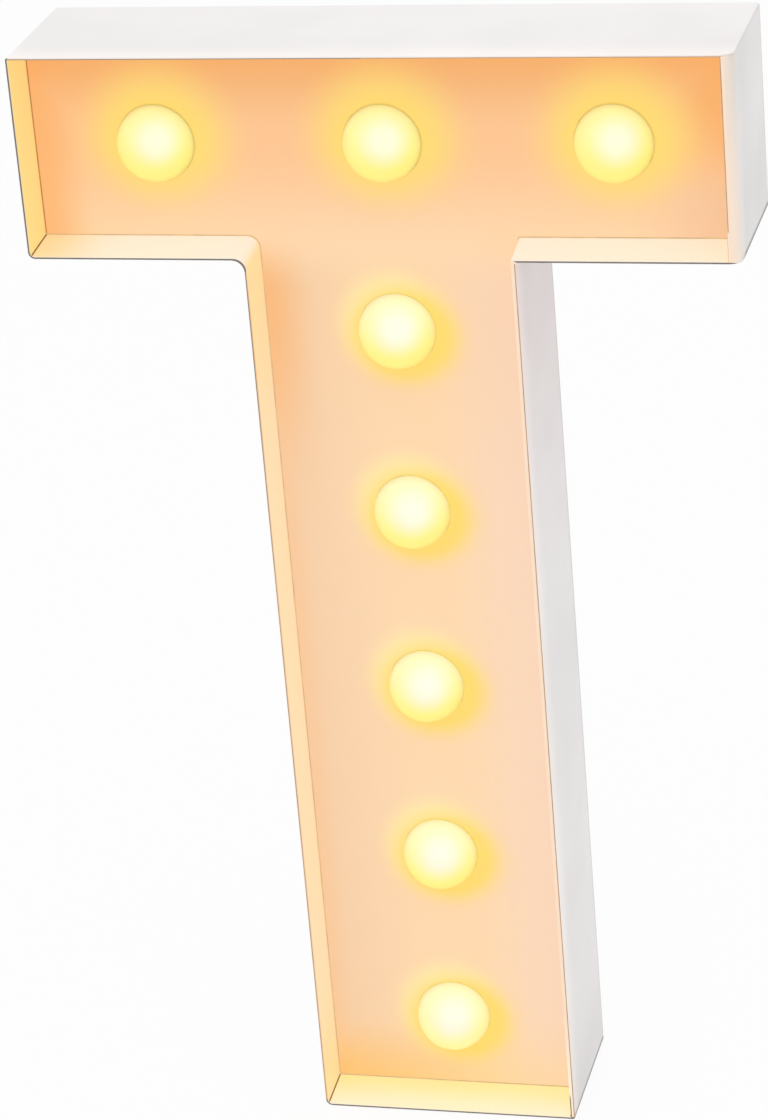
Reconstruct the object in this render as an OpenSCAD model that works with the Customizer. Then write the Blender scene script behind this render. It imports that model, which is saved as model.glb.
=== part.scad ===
// Letter lamp: a free-standing T with eight lit domes, run from two cells behind a hinged door.
// Millimetres. X is right and Z is up as seen from the open front, which faces -Y.
// The origin is under the middle of the foot.

/* [Letter] */
// Height from the foot to the top of the bar
letter_h = 220; // [200:1:260]
// Width of the bar
letter_w = 134; // [120:1:170]
// Height of the bar
bar_h = 39; // [35:0.5:50]
// Width of the stem
stem_w = 51; // [47:0.5:64]
// Thickness of the side walls
wall_t = 1.2; // [1:0.1:2]
// Depth of the lit tray, from the front rim to its floor
recess_d = 9.8; // [8.8:0.1:14]
// Thickness of the tray floor
floor_t = 1.2; // [1:0.1:2]

/* [Corners] */
// Radius of the outer corners
corner_r = 1.3; // [0.6:0.1:3]
// Width of the rounded front lip at the right end of the bar
lip_w = 2.6; // [2:0.1:4]
// Radius where the left side of the stem meets the bar
neck_left_r = 3.2; // [0.6:0.1:6]
// Radius where the right side of the stem meets the bar
neck_right_r = 0.8; // [0.6:0.1:6]

/* [Domes] */
// Diameter of a dome
dome_d = 14.5; // [12:0.5:17]
// Wall of a dome
dome_wall = 1; // [0.8:0.1:1.5]
// How far the flange behind the floor reaches past the dome
flange_w = 1.5; // [1:0.1:3]
// Thickness of that flange
flange_t = 0.8; // [0.6:0.1:1.5]
// Domes in the bar
bar_domes = 3; // [3:2:5]
// Domes in the stem below the bar
stem_domes = 5; // [3:1:6]
// From the end of the bar to the centre of its end dome
bar_margin = 24; // [20:0.5:30]
// From the foot to the centre of the lowest dome
foot_margin = 17; // [15:0.5:24]

/* [Lamp boards] */
// Width of a lamp board
board_w = 12; // [10:0.5:16]
// Thickness of a lamp board
board_t = 0.8; // [0.6:0.1:1.6]
// How far a board runs past its end lamp
board_end = 7; // [5:0.5:9]
// Diameter of a lamp
led_d = 4.8; // [4:0.1:5.5]
// Height of a lamp above its board
led_h = 4.6; // [4:0.1:6]
// Diameter of a lamp lead
lead_d = 0.5; // [0.4:0.05:0.7]
// Spacing of the two leads
lead_pitch = 2.54; // [2:0.01:3]

/* [Cells and bay] */
// Diameter of a cell
cell_d = 14.2; // [13.5:0.1:14.5]
// Length of a cell with its button
cell_l = 50.5; // [49.2:0.1:51]
// Diameter of the button
button_d = 5.5; // [4:0.1:6.5]
// Height of the button
button_h = 1.3; // [1:0.1:1.8]
// Length that a pressed contact spring takes up
spring_l = 5; // [4:0.1:8]
// Wire of the contact springs
spring_wire = 0.7; // [0.5:0.05:0.9]
// Thickness of the contact plates
contact_t = 0.4; // [0.3:0.05:0.6]
// Side of a contact plate
contact_w = 12; // [9:0.5:13]
// Wall of the battery bay
bay_wall = 1; // [0.8:0.1:1.6]
// From the foot to the inside of the bay
bay_lift = 24; // [21:0.5:36]

/* [Back cover and door] */
// Thickness of the back cover
cover_t = 1.8; // [1.5:0.1:2.5]
// Thickness of the battery door
door_t = 1.4; // [1.2:0.1:2]
// How far the door laps over each edge of the bay
door_lap = 2; // [1.5:0.1:3]
// Radius of the rolled top edge of the door
knuckle_r = 1.2; // [1:0.05:1.4]
// Diameter of the hinge pins
hinge_pin_d = 1.4; // [1:0.05:1.6]
// Length of a hinge pin
hinge_pin_l = 1.8; // [1.2:0.1:2.2]
// Width of the snap tongue
tongue_w = 12; // [8:0.5:16]
// Length of the snap tongue
tongue_l = 8; // [5:0.5:14]
// Diameter of the round entry of the wall keyhole
keyhole_d = 8; // [7:0.1:9]
// Width of the slot of the keyhole
keyhole_slot_w = 4; // [3:0.1:4.5]
// Rise of the slot above the entry
keyhole_rise = 7; // [6:0.5:8]
// From the top of the letter down to the entry
keyhole_drop = 16; // [13:0.5:20]

/* [Switch] */
// From the foot to the middle of the switch
switch_lift = 112; // [104:0.5:120]
// Travel of the slider from on to off
switch_travel = 4; // [3:0.1:5]
// Width of the finger pocket along the travel
pocket_w = 15; // [13:0.5:20]
// Height of the finger pocket
pocket_h = 9; // [8:0.5:12]
// Depth of the finger pocket
pocket_d = 3.2; // [2.6:0.1:4]
// Width of the slider knob along the travel
knob_w = 4; // [3:0.1:5]
// Height of the slider knob
knob_h = 3; // [2.4:0.1:4]
// Width of the switch body along the travel
switch_w = 13; // [12:0.5:16]
// Height of the switch body
switch_h = 6.6; // [6:0.1:8]
// Depth of the switch body
switch_d = 5; // [4.5:0.1:7]

/* [Screws] */
// Shank of a cover screw
screw_d = 2.4; // [2:0.1:3]
// Head of a cover screw
screw_head_d = 4.8; // [4:0.1:5.4]
// Height of that head
screw_head_h = 1.6; // [1.2:0.1:2]
// Length of a cover screw under its head
screw_l = 8; // [6:0.5:12]
// Outer diameter of a screw post
post_d = 6; // [5:0.1:7]
// From the edges of the letter in to the screws
screw_inset = 8; // [7:0.5:9]
// From the bar down to the screws at the neck
neck_drop = 20; // [12:0.5:24]
// Shank of a switch screw
small_screw_d = 1.6; // [1.4:0.1:2]

/* [Wiring] */
// Outer diameter of a wire
wire_d = 1; // [0.8:0.05:1.3]

/* [Clearances] */
// Between the cover and the walls
cover_gap = 0.15; // [0.1:0.05:0.3]
// Round a dome in its hole
dome_gap = 0.15; // [0.1:0.05:0.3]
// Round a cell in the bay
cell_gap = 0.2; // [0.1:0.05:0.4]
// Round the battery door
door_gap = 0.25; // [0.2:0.05:0.4]
// Round a hinge pin in its bore
pin_gap = 0.08; // [0.03:0.01:0.1]
// Round the slider
slide_gap = 0.2; // [0.1:0.05:0.3]
// Round a screw in its pilot hole
pilot_gap = 0.05; // [0.03:0.01:0.1]
// Between a snap hook and the board that it holds
hook_gap = 0.1; // [0.05:0.05:0.2]

/* [Hidden] */
$fn = 48;
// Cuts run this far past a face, and fused pieces this far into each other
over = 1;
sink = 0.5;

// Depths, measured back from the front rim
hook_nose_t = 0.8;
bay_room = 0.3;
floor_back = recess_d + floor_t;
board_front = floor_back + flange_t;
board_back = board_front + board_t;
bay_front = board_back + hook_gap + hook_nose_t + bay_room;
bay_floor = bay_front + bay_wall;
cell_axis = bay_floor + cell_gap + cell_d / 2;
door_in = cell_axis + cell_d / 2 + door_gap;
door_out = door_in + door_t;
flush = 0.1;
letter_d = door_out + flush;
cover_in = letter_d - cover_t;
collar_t = 4;
collar_in = letter_d - collar_t;

// Domes, as places across and up the letter
dome_r = dome_d / 2;
bar_row = letter_h - bar_h / 2;
bar_pitch = (letter_w - 2 * bar_margin) / (bar_domes - 1);
stem_pitch = (bar_row - foot_margin) / stem_domes;
bar_places = [for (i = [0 : bar_domes - 1]) [(i - (bar_domes - 1) / 2) * bar_pitch, bar_row]];
stem_places = [for (i = [1 : stem_domes]) [0, bar_row - i * stem_pitch]];
places = concat(bar_places, stem_places);
place_names = concat(
    [for (i = [1 : bar_domes]) str("bar_", i)],
    [for (i = [1 : stem_domes]) str("stem_", i)]
);

// Snap hooks that hold the boards
hook_w = 3;
hook_t = 1.2;
hook_reach = 0.6;

// Screw posts and the wells over them in the cover
neck_z = letter_h - bar_h;
post_places = [for (side = [-1, 1]) each [
    [side * (letter_w / 2 - screw_inset), bar_row],
    [side * (stem_w / 2 - screw_inset), neck_z - neck_drop],
    [side * (stem_w / 2 - screw_inset), screw_inset]
]];
post_end = collar_in;
pilot_l = screw_l;
head_gap = 0.4;
well_d = screw_head_d + 2 * head_gap;
well_wall = 1.2;
well_floor = 1.6;
screw_seat = post_end + well_floor;
shank_gap = 0.2;
screw_hole_d = screw_d + 2 * shank_gap;

// Battery bay
cell_x = cell_d / 2 + cell_gap;
bay_w = 2 * cell_d + 4 * cell_gap;
bay_l = cell_l + spring_l + 2 * contact_t;
bay_z0 = bay_lift;
bay_z1 = bay_z0 + bay_l;
tab_w = 3;
tab_l = 3;
tab_gap = 0.2;
tab_front = cell_axis - contact_w / 2;
tab_top = bay_z1 + bay_wall + tab_l;

// Battery door, hinged along its top edge
door_w = bay_w + 2 * door_lap;
door_z0 = bay_z0 - door_lap;
roll_step = 0.05;
hinge_d = door_out - roll_step - knuckle_r;
hinge_z = bay_z1 + door_lap + knuckle_r;
seat_gap = 0.2;
pin_wall = 1;
collar_side = hinge_pin_l + pin_wall;
notch_r = 5;
collar_foot = door_gap + notch_r + bay_wall;
collar_w = door_w + 2 * (door_gap + collar_side);
collar_z0 = door_z0 - collar_foot;
collar_z1 = hinge_z + knuckle_r + door_gap + collar_side;
tongue_slit = 0.6;
nose_gap = 0.05;
nose_h = door_gap - nose_gap;
nose_t = 0.5;
nose_side = 1;
grip_lines = 4;
grip_w = 0.6;
grip_d = 0.4;
grip_side = 2;

// Switch, from the pocket inwards
pocket_wall = 1.2;
pocket_in = letter_d - pocket_d - pocket_wall;
frame_t = 0.5;
frame_in = pocket_in - frame_t;
switch_front = frame_in - switch_d;
terminal_l = 3;
terminal_w = 1.2;
terminal_t = 0.5;
terminal_pitch = 3;
terminal_end = switch_front - terminal_l;
carriage_lap = 0.8;
carriage_w = knob_w + 2 * carriage_lap;
carriage_h = knob_h + 2 * carriage_lap;
carriage_d = 2;
carriage_top = frame_in - slide_gap;
knob_sink = 0.8;
knob_line = 0.4;
knob_out = letter_d - knob_sink;
slot_w = knob_w + switch_travel + 2 * slide_gap;
slot_h = knob_h + 2 * slide_gap;
slider_on = switch_travel / 2;
small_post_wall = 1.5;
small_post_d = small_screw_d + 2 * small_post_wall;
small_post_x = pocket_w / 2 + pocket_wall + small_post_d / 2 - sink;
small_head_lap = 0.9;
small_head_d = small_screw_d + 2 * small_head_lap;
small_head_h = 1.1;
small_screw_l = 3.4;
frame_w = 2 * small_post_x + small_post_d;
skirt_l = 3;

// Wires start at the tabs and the terminals, and end square on the boards
pad_z = bar_row - 1.5 * stem_pitch;
pad_x = 3;
pad_in = 3;
stem_board_top = bar_row - stem_pitch + board_end;
bar_board_foot = bar_row - board_w / 2;
lift_off = 3;
tab_d = tab_front + contact_t / 2;
hug_d = board_back + 3;
wire_steps = 4;

// Contact springs
spring_turns = 3.5;
spring_rings = 8;
spring_foot_r = 4.8;
spring_tip_r = 3;
spring_play = 0.1;

// Points and tubes

function unit(v) = v / norm(v);

// A smooth curve through the points of a route
function between(a, b, c, d, t) =
    (2 * b + (c - a) * t + (2 * a - 5 * b + 4 * c - d) * t ^ 2 + (3 * b - a - 3 * c + d) * t ^ 3) / 2;
function smooth_route(p, n) = concat(
    [for (i = [0 : len(p) - 2]) for (k = [0 : n - 1])
        between(p[max(i - 1, 0)], p[i], p[i + 1], p[min(i + 2, len(p) - 1)], k / n)],
    [p[len(p) - 1]]
);

// Direction of travel at each point, square to the ends where those are given
function headings(p, first, last) = [for (i = [0 : len(p) - 1])
    i == 0 ? first : i == len(p) - 1 ? last : unit(p[i + 1] - p[i - 1])];

// A round tube along points, with the given headings and a reference that no heading follows
module tube(p, heads, ref, r, sides) {
    rings = [for (i = [0 : len(p) - 1])
        let (across = unit(cross(ref, heads[i])), up = cross(heads[i], across))
        for (j = [0 : sides - 1])
            p[i] + r * (across * cos(360 * j / sides) + up * sin(360 * j / sides))];
    last = (len(p) - 1) * sides;
    ends = [for (j = [1 : sides - 2]) each [[0, j, j + 1], [last, last + j + 1, last + j]]];
    walls = [for (i = [0 : len(p) - 2]) for (j = [0 : sides - 1])
        let (a = i * sides + j, b = i * sides + (j + 1) % sides)
        each [[a, a + sides, b + sides], [a, b + sides, b]]];
    polyhedron(points = rings, faces = concat(ends, walls));
}

// A spiral that closes in as it climbs
function helix(foot_r, tip_r, height, turns, rings) = [for (i = [0 : rings * turns])
    let (f = i / (rings * turns), r = foot_r + (tip_r - foot_r) * f)
    [r * cos(360 * turns * f), r * sin(360 * turns * f), height * f]];

spring_h = spring_l - spring_wire - 2 * spring_play;
spring_path = helix(spring_foot_r, spring_tip_r, spring_h, spring_turns, spring_rings);
// Least gap between the spring's turns, taken over points more than half a turn apart
spring_last = len(spring_path) - 1;
spring_apart = spring_rings / 2 + 1;
spring_least_gap = min([for (i = [0 : spring_last]) for (j = [i + spring_apart : 1 : spring_last])
    norm(spring_path[i] - spring_path[j])]) - spring_wire;
echo(spring_least_gap = spring_least_gap);

// Placing

// Moves to a place across, a depth behind the front rim and a height
module at(x, d, z) translate([x, d - letter_d / 2, z]) children();

// A flat shape in the plane of the letter, from depth d0 to depth d1
module slab(d0, d1) at(0, d1, 0) rotate([90, 0, 0]) linear_extrude(d1 - d0) children();

// A round bar square to the plane of the letter
module bar(x, z, d0, d1, dia) at(x, d1, z) rotate([90, 0, 0]) cylinder(h = d1 - d0, d = dia);

// A round bar along X, centred on the letter
module cross_bar(d, z, length, dia) at(-length / 2, d, z) rotate([0, 90, 0]) cylinder(h = length, d = dia);

// A box centred on x
module block(x, w, d0, d1, z0, z1) at(x - w / 2, d0, z0) cube([w, d1 - d0, z1 - z0]);

// Outline of the letter

// The sliver that rounds an outer corner, which points along sx and sz
module corner_cut(x, z, sx, sz, r) difference() {
    translate([min(x - sx * r, x + sx * over), min(z - sz * r, z + sz * over)]) square(r + over);
    translate([x - sx * r, z - sz * r]) circle(r);
}

// The fillet in an inner corner, whose open side lies along sx and sz
module corner_fill(x, z, sx, sz, r) difference() {
    translate([min(x + sx * r, x - sx * over), min(z + sz * r, z - sz * over)]) square(r + over);
    translate([x + sx * r, z + sz * r]) circle(r);
}

// The letter, drawn in from its outside by inset
module letter_shape(inset) {
    x = letter_w / 2 - inset;
    top = letter_h - inset;
    neck = neck_z + inset;
    stem = stem_w / 2 - inset;
    least_r = 0.3;
    function drawn_in(r) = max(r - inset, least_r);
    difference() {
        union() {
            polygon([[-stem, inset], [stem, inset], [stem, neck], [x, neck],
                [x, top], [-x, top], [-x, neck], [-stem, neck]]);
            corner_fill(-stem, neck, -1, -1, neck_left_r + inset);
            corner_fill(stem, neck, 1, -1, neck_right_r + inset);
        }
        for (side = [-1, 1]) {
            corner_cut(side * x, top, side, 1, drawn_in(corner_r));
            corner_cut(side * x, neck, side, -1, drawn_in(corner_r));
            corner_cut(side * stem, inset, side, -1, drawn_in(corner_r));
        }
    }
}

// The opening of the lit tray, which leaves the broad lip at the right end of the bar
module tray_shape() difference() {
    letter_shape(wall_t);
    translate([letter_w / 2 - lip_w, neck_z]) square([lip_w, bar_h]);
}

// Shell, cover and door

// A snap hook at the edge of a board, reaching back over it; turn swings its outside from +X
module board_hook(x, z, turn) at(x, 0, z) rotate([0, turn, 0]) {
    nose = board_back + hook_gap;
    translate([hook_gap, floor_back - sink, -hook_w / 2])
        cube([hook_t, nose + hook_nose_t - floor_back + sink, hook_w]);
    translate([-hook_reach, nose, -hook_w / 2])
        cube([hook_reach + hook_gap + hook_t, hook_nose_t, hook_w]);
}

module board_hooks() {
    for (i = [0 : bar_domes - 2]) {
        x = bar_places[0][0] + (i + 0.5) * bar_pitch;
        board_hook(x, bar_row + board_w / 2, -90);
        board_hook(x, bar_row - board_w / 2, 90);
    }
    for (i = [1 : stem_domes - 1]) {
        z = bar_row - (i + 0.5) * stem_pitch;
        board_hook(board_w / 2, z, 0);
        board_hook(-board_w / 2, z, 180);
    }
}

// The sliver that rounds the upright front edge of the lip
module lip_cut() at(letter_w / 2, 0, neck_z - over) linear_extrude(bar_h + 2 * over)
    corner_cut(0, 0, 1, -1, lip_w);

module front_shell() color("white") difference() {
    union() {
        difference() {
            slab(0, letter_d) letter_shape(0);
            slab(-over, recess_d) tray_shape();
            slab(floor_back, letter_d + over) letter_shape(wall_t);
            lip_cut();
        }
        for (p = post_places) bar(p[0], p[1], floor_back - sink, post_end, post_d);
        board_hooks();
    }
    for (p = places) bar(p[0], p[1], recess_d - over, floor_back + over, dome_d + 2 * dome_gap);
    for (p = post_places) bar(p[0], p[1], post_end - pilot_l, post_end + over, screw_d + 2 * pilot_gap);
}

module keyhole() {
    z = letter_h - keyhole_drop;
    bar(0, z, cover_in - over, letter_d + over, keyhole_d);
    bar(0, z + keyhole_rise, cover_in - over, letter_d + over, keyhole_slot_w);
    block(0, keyhole_slot_w, cover_in - over, letter_d + over, z, z + keyhole_rise);
}

// Marks sunk beside the switch: a stroke for on and a ring for off
module switch_marks() {
    mark_d = 0.4;
    mark_h = 3;
    mark_gap = 1.5;
    stroke = 0.6;
    z = switch_lift + pocket_h / 2 + mark_gap + mark_h / 2;
    block(slider_on, stroke, letter_d - mark_d, letter_d + over, z - mark_h / 2, z + mark_h / 2);
    difference() {
        bar(-slider_on, z, letter_d - mark_d, letter_d + over, mark_h);
        bar(-slider_on, z, letter_d - mark_d - over, letter_d + 2 * over, mark_h - 2 * stroke);
    }
}

// The room that the door lies and turns in
module door_room() {
    room_w = door_w + 2 * door_gap;
    block(0, room_w, door_in - seat_gap, letter_d + over, door_z0 - door_gap, hinge_z);
    cross_bar(hinge_d, hinge_z, room_w, 2 * (knuckle_r + door_gap));
    block(0, room_w, hinge_d, letter_d + over, hinge_z - over, hinge_z + knuckle_r + door_gap);
    cross_bar(hinge_d, hinge_z, door_w + 2 * (hinge_pin_l + door_gap), hinge_pin_d + 2 * pin_gap);
    bar(0, door_z0 - door_gap, door_in, letter_d + over, 2 * notch_r);
}

module back_cover() color("whitesmoke") difference() {
    union() {
        slab(cover_in, letter_d) letter_shape(wall_t + cover_gap);
        for (p = post_places) bar(p[0], p[1], post_end, letter_d - sink, well_d + 2 * well_wall);
        block(0, collar_w, collar_in, letter_d - sink, collar_z0, collar_z1);
        block(0, bay_w + 2 * bay_wall, bay_front, letter_d - sink, bay_z0 - bay_wall, bay_z1 + bay_wall);
        block(0, pocket_w + 2 * pocket_wall, pocket_in, letter_d - sink,
            switch_lift - pocket_h / 2 - pocket_wall, switch_lift + pocket_h / 2 + pocket_wall);
        for (side = [-1, 1]) bar(side * small_post_x, switch_lift, pocket_in, letter_d - sink, small_post_d);
    }
    for (p = post_places) {
        bar(p[0], p[1], screw_seat, letter_d + over, well_d);
        bar(p[0], p[1], post_end - over, letter_d, screw_hole_d);
    }
    block(0, bay_w, bay_floor, letter_d + over, bay_z0, bay_z1);
    door_room();
    for (side = [-1, 1])
        block(side * cell_x, tab_w + 2 * tab_gap, tab_front - tab_gap, tab_front + contact_t + tab_gap,
            bay_z1 - over, bay_z1 + bay_wall + over);
    block(0, pocket_w, letter_d - pocket_d, letter_d + over,
        switch_lift - pocket_h / 2, switch_lift + pocket_h / 2);
    block(0, slot_w, pocket_in - over, letter_d, switch_lift - slot_h / 2, switch_lift + slot_h / 2);
    for (side = [-1, 1])
        bar(side * small_post_x, switch_lift, pocket_in - over, frame_in + small_screw_l + sink,
            small_screw_d + 2 * pilot_gap);
    keyhole();
    switch_marks();
}

module battery_door() color("whitesmoke") {
    difference() {
        union() {
            block(0, door_w, door_in, door_out, door_z0, hinge_z);
            cross_bar(hinge_d, hinge_z, door_w, 2 * knuckle_r);
            cross_bar(hinge_d, hinge_z, door_w + 2 * hinge_pin_l, hinge_pin_d);
            block(0, tongue_w - 2 * nose_side, door_in + nose_t, door_in + 2 * nose_t,
                door_z0 - nose_h, door_z0 + sink);
        }
        for (side = [-1, 1])
            block(side * (tongue_w + tongue_slit) / 2, tongue_slit, door_in - over, door_out + over,
                door_z0 - over, door_z0 + tongue_l);
        for (i = [1 : grip_lines]) {
            z = door_z0 + i * tongue_l / (grip_lines + 1);
            block(0, tongue_w - 2 * grip_side, door_out - grip_d, door_out + over,
                z - grip_w / 2, z + grip_w / 2);
        }
    }
}

// Screws

// A cross-head screw along Z, its seat at the origin and its shank below
module screw(shank_d, shank_l, head_d, head_h) {
    slot_t = head_d / 6;
    slot_l = head_d * 2 / 3;
    bit = head_h / 2;
    difference() {
        cylinder(h = head_h, d1 = head_d, d2 = head_d - head_h / 2);
        for (turn = [0, 90]) rotate([0, 0, turn])
            translate([-slot_l / 2, -slot_t / 2, head_h - bit]) cube([slot_l, slot_t, bit + over]);
    }
    translate([0, 0, -shank_l]) cylinder(h = shank_l + head_h / 4, d = shank_d);
}

module cover_screws() color("silver") for (p = post_places)
    at(p[0], screw_seat, p[1]) rotate([-90, 0, 0]) screw(screw_d, screw_l, screw_head_d, screw_head_h);

module switch_screws() color("silver") for (side = [-1, 1])
    at(side * small_post_x, frame_in, switch_lift) rotate([90, 0, 0])
        screw(small_screw_d, small_screw_l, small_head_d, small_head_h);

// Switch

// A box centred on the switch
module switch_block(x, w, d0, d1, h) block(x, w, d0, d1, switch_lift - h / 2, switch_lift + h / 2);

module switch_slider() color("dimgray") difference() {
    union() {
        switch_block(slider_on, carriage_w, carriage_top - carriage_d, carriage_top, carriage_h);
        switch_block(slider_on, knob_w, carriage_top - sink, knob_out, knob_h);
    }
    for (i = [-1 : 1])
        switch_block(slider_on + i * knob_w / 4, knob_line, knob_out - grip_d, knob_out + over,
            knob_h + over);
}

module switch_frame() color("silver") difference() {
    union() {
        switch_block(0, frame_w, frame_in, pocket_in, small_post_d);
        for (side = [-1, 1])
            at(-switch_w / 2, frame_in - skirt_l, switch_lift + side * (switch_h + frame_t) / 2 - frame_t / 2)
                cube([switch_w, skirt_l + frame_t, frame_t]);
        switch_block(0, switch_w, frame_in, pocket_in, switch_h + 2 * frame_t);
    }
    switch_block(0, slot_w, frame_in - over, pocket_in + over, slot_h);
    for (side = [-1, 1])
        bar(side * small_post_x, switch_lift, frame_in - over, pocket_in + over,
            small_screw_d + 2 * shank_gap);
}

module switch_base() color("saddlebrown") difference() {
    switch_block(0, switch_w, switch_front, frame_in, switch_h);
    switch_block(0, carriage_w + switch_travel + 2 * slide_gap, frame_in - carriage_d - 2 * slide_gap,
        frame_in + over, carriage_h + 2 * slide_gap);
}

module switch_terminals() color("gold") for (i = [-1 : 1])
    switch_block(i * terminal_pitch, terminal_w, terminal_end, switch_front, terminal_t);

// Domes and lamps

module dome(p) color("lemonchiffon") at(p[0], recess_d, p[1]) rotate([90, 0, 0]) rotate_extrude() {
    back = floor_t + flange_t;
    inner_r = dome_r - dome_wall;
    difference() {
        union() {
            intersection() {
                circle(dome_r);
                square(dome_r);
            }
            translate([0, -floor_t - sink]) square([dome_r, floor_t + 2 * sink]);
            translate([0, -back]) square([dome_r + flange_w, flange_t]);
        }
        intersection() {
            circle(inner_r);
            translate([-over, 0]) square(inner_r + over);
        }
        translate([-over, -back - over]) square([inner_r + over, back + over]);
    }
}

module led(p) color("lightyellow") at(p[0], board_front, p[1]) rotate([90, 0, 0]) rotate_extrude() {
    r = led_d / 2;
    rim = 0.4;
    square([r + rim, 2 * rim]);
    square([r, led_h - r]);
    translate([0, led_h - r]) intersection() {
        circle(r);
        square(r);
    }
}

module led_leads() color("silver") for (p = places) for (side = [-1, 1])
    bar(p[0] + side * lead_pitch / 2, p[1], board_front, board_back + sink, lead_d);

// Holes for the leads of the lamps at some places
module lead_holes(some) for (p = some) for (side = [-1, 1])
    bar(p[0] + side * lead_pitch / 2, p[1], board_front - over, board_back + over, 2 * lead_d);

module bar_board() color("seagreen") difference() {
    block(0, (bar_domes - 1) * bar_pitch + 2 * board_end, board_front, board_back,
        bar_row - board_w / 2, bar_row + board_w / 2);
    lead_holes(bar_places);
}

module stem_board() color("seagreen") difference() {
    block(0, board_w, board_front, board_back, foot_margin - board_end, stem_board_top);
    lead_holes(stem_places);
}

module resistors() color("black") {
    chip = [3.2, 0.55, 1.6];
    below_pads = 5;
    for (p = [[bar_pitch / 2, bar_row], [0, pad_z - below_pads]])
        at(p[0] - chip[0] / 2, board_back, p[1] - chip[2] / 2) cube(chip);
}

// Cells and contacts

// A cell along Z with its button up, standing on the origin
module cell() {
    can_l = cell_l - button_h;
    shoulder = 0.5;
    cylinder(h = can_l - shoulder, d = cell_d);
    cylinder(h = can_l, d = cell_d - 2 * shoulder);
    cylinder(h = cell_l, d = button_d);
}

module cell_left() color("slategray") at(-cell_x, cell_axis, bay_z0 + contact_t + spring_l) cell();

module cell_right() color("slategray")
    at(cell_x, cell_axis, bay_z0 + contact_t + cell_l) rotate([180, 0, 0]) cell();

// A contact spring along Z, standing on the origin
module contact_spring() translate([0, 0, spring_wire / 2 + spring_play])
    tube(spring_path, headings(spring_path, [0, 1, 0], unit([-1, 0, 0.1])), [0, 0, 1], spring_wire / 2, 6);

module spring_lower() color("silver") at(-cell_x, cell_axis, bay_z0 + contact_t) contact_spring();

module spring_upper() color("silver")
    at(cell_x, cell_axis, bay_z1 - contact_t) rotate([180, 0, 0]) contact_spring();

module contact_bridge() color("silver")
    block(0, 2 * cell_x + contact_w, tab_front, tab_front + contact_w, bay_z0, bay_z0 + contact_t);

// A square plate at the top of the bay with a soldering tab
module top_contact(x) {
    block(x, contact_w, tab_front, tab_front + contact_w, bay_z1 - contact_t, bay_z1);
    block(x, tab_w, tab_front, tab_front + contact_t, bay_z1 - contact_t, tab_top);
}

module contact_positive() color("silver") top_contact(-cell_x);
module contact_negative() color("silver") top_contact(cell_x);

// Wires, as places across, depths and heights

UP = [0, 0, 1];
BACK = [0, 1, 0];

module wire(route, first, last) at(0, 0, 0) {
    path = smooth_route(route, wire_steps);
    tube(path, headings(path, first, last), [1, 0, 0], wire_d / 2, 8);
}

module wire_positive() color("red") wire([
    [-cell_x, tab_d, tab_top],
    [-cell_x, tab_d, tab_top + 4],
    [-cell_x + 1, hug_d + 0.5, (tab_top + switch_lift) / 2],
    [-terminal_pitch - 1, hug_d - 0.8, switch_lift - 5],
    [-terminal_pitch, hug_d - 0.4, switch_lift - 1.5],
    [-terminal_pitch, terminal_end - 1.2, switch_lift],
    [-terminal_pitch, terminal_end, switch_lift]
], UP, BACK);

module wire_switched() color("red") wire([
    [0, terminal_end, switch_lift],
    [0, terminal_end - 1.2, switch_lift],
    [-0.4, hug_d - 0.4, switch_lift + 1.5],
    [-1, hug_d - 0.8, switch_lift + 5],
    [-2, hug_d, (switch_lift + pad_z) / 2],
    [-pad_x, hug_d, pad_z - 4],
    [-pad_x, board_back + 1.6, pad_z - 0.8],
    [-pad_x, board_back, pad_z]
], -BACK, -BACK);

module wire_negative() color("black") wire([
    [cell_x, tab_d, tab_top],
    [cell_x, tab_d, tab_top + 4],
    [cell_x + 2, hug_d, tab_top + 14],
    [cell_x + 2, hug_d, switch_lift],
    [cell_x, hug_d, (switch_lift + pad_z) / 2],
    [pad_x, hug_d, pad_z - 4],
    [pad_x, board_back + 1.6, pad_z - 0.8],
    [pad_x, board_back, pad_z]
], UP, -BACK);

// A jumper from the top of the stem board to the bar board
module link_wire(x) wire([
    [x, board_back, stem_board_top - pad_in],
    [x, board_back + 1.6, stem_board_top - pad_in + 0.4],
    [x, board_back + lift_off, stem_board_top],
    [x, board_back + lift_off, bar_board_foot],
    [x, board_back + 1.6, bar_board_foot + pad_in - 0.4],
    [x, board_back, bar_board_foot + pad_in]
], BACK, -BACK);

module wire_link_positive() color("red") link_wire(-pad_x);
module wire_link_negative() color("black") link_wire(pad_x);

front_shell();
back_cover();
battery_door();
cover_screws();
switch_slider();
switch_frame();
switch_base();
switch_terminals();
switch_screws();
bar_board();
stem_board();
led_leads();
resistors();
cell_left();
cell_right();
spring_lower();
spring_upper();
contact_bridge();
contact_positive();
contact_negative();
wire_positive();
wire_switched();
wire_negative();
wire_link_positive();
wire_link_negative();
for (i = [0 : len(places) - 1]) {
    dome(places[i]);
    led(places[i]);
}
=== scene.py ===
"""The looks of a letter lamp: a white T with an open lit tray and eight glowing domes.

Lengths are in metres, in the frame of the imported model: X right, Z up, the open front at -Y.
"""

import math

import bmesh
import bpy
from mathutils import Matrix, Vector


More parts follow.
